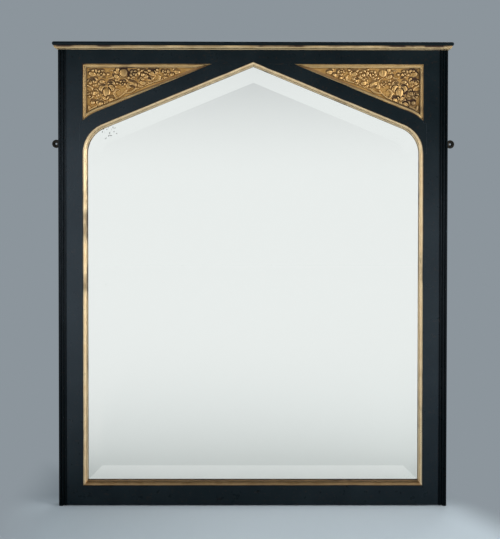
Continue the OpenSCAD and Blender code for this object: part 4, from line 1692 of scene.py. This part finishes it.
    def close_back(self, mesh: bpy.types.Mesh) -> None:
        """Drops the rim of the carving to its panel and closes it behind.

        Args:
            mesh: The carving's mesh, open behind.
        """
        with reworked(mesh) as work:
            loose = [v for v in work.verts if not v.link_faces]
            bmesh.ops.delete(work, geom=loose, context="VERTS")
            rim = [e for e in work.edges if e.is_boundary]
            grown = bmesh.ops.extrude_edge_only(work, edges=rim)["geom"]
            for v in (g for g in grown if isinstance(g, bmesh.types.BMVert)):
                v.co.y = self.at.face_y + self.ground
            close_holes(work)


# ---- Back and fittings ----

@dataclass
class Back:
    """The pine back: boards, glued blocks and pegs."""

    boards: int = 5
    arris: float = 0.8 * MM

    def build(self) -> None:
        """Eases the boards and gives the blocks and the pegs their wood."""
        for i in range(1, self.boards + 1):
            node = f"backboard_{i}"
            hand_over(eased_copy(node, node + "_pine", self.arris, PINE.material(),
                                 PINE.material()), "pine", node)
        for node in ("plate_blocks", "spandrel_blocks"):
            dress(node, PINE.material())
        dress("tenon_pegs", PEG_WOOD.material())


@dataclass
class Fittings:
    """The wall plates and all the screws."""

    at: Layout
    head_r: float = 3.5 * MM
    head_h: float = 2 * MM
    shank_r: float = 1.75 * MM
    slot_w: float = 0.9 * MM
    slot_d: float = 0.8 * MM
    chamfer: float = 0.15 * MM
    point_h: float = 2 * MM
    point_r: float = 0.3 * MM
    plate_arris: float = 0.4 * MM
    round_steps: int = 32
    sharp_deg: float = 35.0
    weld: float = 0.005 * MM
    level: float = 0.01 * MM

    def build(self) -> None:
        """Makes the wall plates and sets the screws."""
        brass = WALL_BRASS.material()
        for side in Side:
            node = side.word + "_wall_plate"
            hand_over(eased_copy(node, node + "_brass", self.plate_arris, brass, brass),
                      "wall_plate_brass", node)
        tool = ScatterTool()
        for node, aim in (("backboard_screws", (0.0, 1.0, 0.0)),
                          ("wall_plate_screws", (0.0, 1.0, 0.0)),
                          ("cap_screws", (0.0, 0.0, 1.0))):
            self.set_screws(tool, node, Vector(aim))

    def places(self, node: str, aim: Vector) -> list[Vector]:
        """Finds where each screw's head lies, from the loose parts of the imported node.

        Args:
            node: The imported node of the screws.
            aim: The way that the screws' heads face.

        Returns:
            The middle of each head.
        """
        work = bmesh.new()
        work.from_mesh(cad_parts[node].data)
        bmesh.ops.remove_doubles(work, verts=work.verts, dist=self.weld)
        left, found = set(work.verts), []
        while left:
            group, edge = [], [left.pop()]
            while edge:
                v = edge.pop()
                group.append(v.co.copy())
                for e in v.link_edges:
                    other = e.other_vert(v)
                    if other in left:
                        left.remove(other)
                        edge.append(other)
            top = max(p.dot(aim) for p in group)
            ring = [p for p in group if p.dot(aim) > top - self.level]
            found.append(sum(ring, Vector()) / len(ring))
        work.free()
        return sorted(found, key=lambda p: (round(p.z, 4), round(p.x, 4)))

    def pattern(self, length: float) -> bpy.types.Object:
        """Draws one countersunk screw with a slot, its head flush at the origin.

        Args:
            length: The screw's length.

        Returns:
            The screw.
        """
        n = self.round_steps
        levels = [(self.head_r - self.chamfer, 0.0), (self.head_r, -self.chamfer),
                  (self.shank_r, -self.head_h), (self.shank_r, -length + self.point_h),
                  (self.point_r, -length)]
        points = [(r * math.cos(a), r * math.sin(a), z)
                  for r, z in levels for a in turns(math.tau, n)[:-1]]
        faces = [[k * n + i, (k + 1) * n + i, (k + 1) * n + (i + 1) % n, k * n + (i + 1) % n]
                 for k in range(len(levels) - 1) for i in range(n)]
        faces += [list(range(n)), [len(points) - n + i for i in range(n)][::-1]]
        mesh = mesh_of("screw", points, faces)
        half = self.slot_w / 2
        with reworked(mesh) as work:
            for offset in (-half, half):
                bmesh.ops.bisect_plane(work, geom=[*work.verts, *work.edges, *work.faces],
                                       plane_co=(0, offset, 0), plane_no=(0, 1, 0))
            slot = [f for f in work.faces if max(v.co.z for v in f.verts) > -self.level
                    and len({round(v.co.z, 6) for v in f.verts}) == 1
                    and abs(f.calc_center_median().y) < half]
            grown = bmesh.ops.extrude_face_region(work, geom=slot)["geom"]
            bmesh.ops.delete(work, geom=slot, context="FACES_ONLY")
            for v in (g for g in grown if isinstance(g, bmesh.types.BMVert)):
                v.co.z -= self.slot_d
        smooth(mesh, self.sharp_deg)
        return new_object("screw", mesh)

    def set_screws(self, tool: ScatterTool, node: str, aim: Vector) -> None:
        """Sets a slotted screw, turned at random, in each of a node's holes.

        Args:
            tool: What sets them.
            node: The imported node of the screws.
            aim: The way that the screws' heads face.
        """
        low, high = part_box(node)
        length = abs((high - low).dot(aim))
        places = self.places(node, aim)
        base = mesh_of(node, [tuple(p) for p in places])
        towards = base.attributes.new("aim", "FLOAT_VECTOR", "POINT")
        towards.data.foreach_set("vector", [c for _ in places for c in aim])
        pattern = self.pattern(length)
        piece = tool.run(node + "_slotted", base, {
            "Pattern": pattern, "Spin": math.tau, "Seed": len(places),
            "Material": STEEL.material()})
        bpy.data.objects.remove(pattern)
        hand_over(piece, "screw_steel", node)


# ---- Studio ----

@dataclass
class Studio:
    """A pale floor, with painted shade and a painted shadow, that runs into a grey backdrop, soft
    light, and the camera.
    """

    backdrop: str = "#8c959c"
    pale: str = "#f4f6f5"
    room: str = "#b9c3ca"
    dim: str = "#3c4853"
    floor: str = "#dfeaf0"
    # Painted shade towards the sides, and a painted shadow behind the frame.
    floor_shade: str = "#bfcad0"
    floor_behind: str = "#9aa4aa"
    # The floor's colour in the mirror: a painted reflection.
    floor_mirrored: str = "#d8dcd6"
    floor_reach: float = 14.0
    lamps: tuple[tuple[str, Place, Flat, float], ...] = (
        ("key", (2.5, -1.7, 1.3), (1.3, 2.2), 75.0),
        ("fill", (-2.5, -1.7, 1.3), (2.0, 2.6), 38.0),
        ("rear", (0.6, 2.2, 2.4), (1.8, 1.8), 26.0))
    lamps_aim: Place = (0.0, 0.0, 0.6)
    camera_at: Place = (0.046, -2.812, 0.85)
    tilt_deg: float = 1.107
    roll_deg: float = 0.075
    yaw_deg: float = -0.26
    lens_mm: float = 71.36
    sensor_mm: float = 36.0
    shift: Flat = (-0.0473, -0.1215)

    def build(self) -> None:
        """Makes the floor, the world, the lamps and the camera."""
        self.build_floor()
        self.build_world()
        for name, place, size, watts in self.lamps:
            self.add_lamp(name, place, size, watts)
        self.build_camera()

    def surround(self, add: Adder, way: Any) -> bpy.types.NodeSocket:
        """The colour of the room: grey behind the mirror, and a pale screen before it.

        Seen directly, the front is a light grey. Seen by the object it is a pale screen with
        a darker room past it, as in a studio.

        Args:
            add: What adds a node to the tree.
            way: The direction looked in.

        Returns:
            The colour's socket.
        """
        across, along, up = add("SeparateXYZ", way)
        front = add("MapRange", along, 0.15, -0.45, **SMOOTH)
        beside = add("Math", across, operation="ABSOLUTE")
        screen = add("Math", add("MapRange", beside, 0.25, 0.95, 1.0, 0.7, **SMOOTH),
                     add("MapRange", up, 0.28, 0.0, **SMOOTH), **TIMES)
        before = add("Mix", {0: screen, 6: self.dim, 7: self.pale}, **COLOURS)[2]
        direct = add("LightPath")["Is Camera Ray"]
        before = add("Mix", {0: direct, 6: before, 7: self.room}, **COLOURS)[2]
        return add("Mix", {0: front, 6: self.backdrop, 7: before}, **COLOURS)[2]

    def build_world(self) -> None:
        """Makes the world, which is the room seen past the floor."""
        world = bpy.data.worlds.new("room")
        bpy.context.scene.world = world
        world.use_nodes = True
        world.node_tree.nodes.clear()
        add = partial(add_node, world.node_tree)
        add("OutputWorld", add("Background", self.surround(add, add("TexCoord")["Generated"])))

    def build_floor(self) -> None:
        """Makes the floor, which keeps the shadow near the frame, has painted shade and shadow,
        and fades into the room.
        """
        n, reach = 96, self.floor_reach
        rim = [(reach * math.cos(math.tau * i / n), reach * math.sin(math.tau * i / n), 0.0)
               for i in range(n)]
        floor = new_object("floor", mesh_of("floor", rim, [list(range(n))]))
        made = bpy.data.materials.new("studio_floor")
        made.use_nodes = True
        made.node_tree.nodes.clear()
        add = partial(add_node, made.node_tree)
        place = add("TexCoord")["Object"]
        x, y, _ = add("SeparateXYZ", place)
        ways = add("LightPath")
        through, direct = ways["Is Transmission Ray"], ways["Is Camera Ray"]
        side = add("Math", x, operation="ABSOLUTE")
        # The way from the frame to a place, which picks the colour that the floor fades to.
        # Seen directly it starts behind the frame and spreads more, for a softer change.
        wide = add("CombineXYZ", add("Math", x, 0.6, **TIMES), 0.5)
        back = add("VectorMath", {0: wide, "Scale": direct}, operation="SCALE")
        ahead = add("VectorMath", place, (0.4, 1.0, 1.0), back, operation="MULTIPLY_ADD")
        way = add("VectorMath", ahead, operation="NORMALIZE")
        # How far the floor has faded: past a line on each side, behind, and far in front.
        right = add("Math", y, add("MapRange", x, -0.1, 0.1, **SMOOTH), **TIMES)
        lean = add("VectorMath", add("CombineXYZ", side, right, x), (1.9, 1.0, 0.09),
                   operation="DOT_PRODUCT")["Value"]
        fade = add("MapRange", lean, 0.838, 1.228, **SMOOTH)
        for value, start, end in ((side, 0.75, 1.5), (y, 0.05, 0.5), (y, -0.4, -2.8)):
            fade = add("Math", fade, add("MapRange", value, start, end, **SMOOTH), **LARGEST)
        # In the mirror it keeps less and less of its own colour the farther it lies in front.
        kept = add("Math", 3.86, y, operation="POWER")
        mirrored = add("Math", 1.0, kept, operation="SUBTRACT")
        fade = add("Mix", {0: through, 2: fade, 3: mirrored})
        # Painted shade: the floor's colour darkens towards both sides; painted shadow: darker
        # behind the frame.
        shade = add("Math", add("MapRange", x, 0.1, -0.75, **SMOOTH),
                    add("MapRange", x, 0.4, 0.82, **SMOOTH), **LARGEST)
        # In the mirror the floor takes a colour of its own: a painted reflection.
        colour = self.floor
        for share, tone in ((shade, self.floor_shade),
                            (add("MapRange", y, -0.05, 0.1, **SMOOTH), self.floor_behind),
                            (through, self.floor_mirrored)):
            colour = add("Mix", {0: share, 6: colour, 7: tone}, **COLOURS)[2]
        matt = add("BsdfDiffuse", colour)
        glow = add("Emission", self.surround(add, way))
        add("OutputMaterial", add("MixShader", fade, matt, glow))
        floor.data.materials.append(made)

    def add_lamp(self, name: str, place: Place, size: Flat, watts: float) -> None:
        """Adds a soft box, of a width and a height, that looks at the middle of the frame.

        Args:
            name: The lamp's name.
            place: Where it stands.
            size: Its width and its height.
            watts: Its power.
        """
        data = bpy.data.lights.new(name, "AREA")
        data.shape = "RECTANGLE"
        data.size, data.size_y = size
        data.energy = watts
        lamp = bpy.data.objects.new(name, data)
        lamp.location = place
        aim = Vector(self.lamps_aim) - Vector(place)
        lamp.rotation_euler = aim.to_track_quat("-Z", "Y").to_euler()
        lamp.visible_camera = False
        bpy.context.scene.collection.objects.link(lamp)

    def build_camera(self) -> None:
        """Sets the camera at the photograph's place, tilted a little down."""
        data = bpy.data.cameras.new("camera")
        camera = bpy.data.objects.new("camera", data)
        bpy.context.scene.collection.objects.link(camera)
        data.sensor_width = self.sensor_mm
        data.lens = self.lens_mm
        data.shift_x, data.shift_y = self.shift
        camera.location = self.camera_at
        camera.rotation_euler = tuple(math.radians(a) for a in (
            90 - self.tilt_deg, -self.roll_deg, self.yaw_deg))
        bpy.context.scene.camera = camera


def main() -> None:
    """Builds the mirror's parts in order, then the studio."""
    logging.basicConfig(level=logging.INFO, format="%(message)s")
    bpy.context.scene.view_settings.view_transform = "Standard"
    at = Layout.measured()
    line = ArchLine(at)
    mouldings = MouldingTool()
    BlackFrame().build()
    Cornice(at, mouldings).build()
    GiltSlip(at, line, mouldings).build()
    for side in Side:
        Spandrel(at, line, mouldings, side).build()
    MirrorPlate(at, line).build()
    Back().build()
    Fittings(at).build()
    Studio().build()


if __name__ == "__main__":
    main()
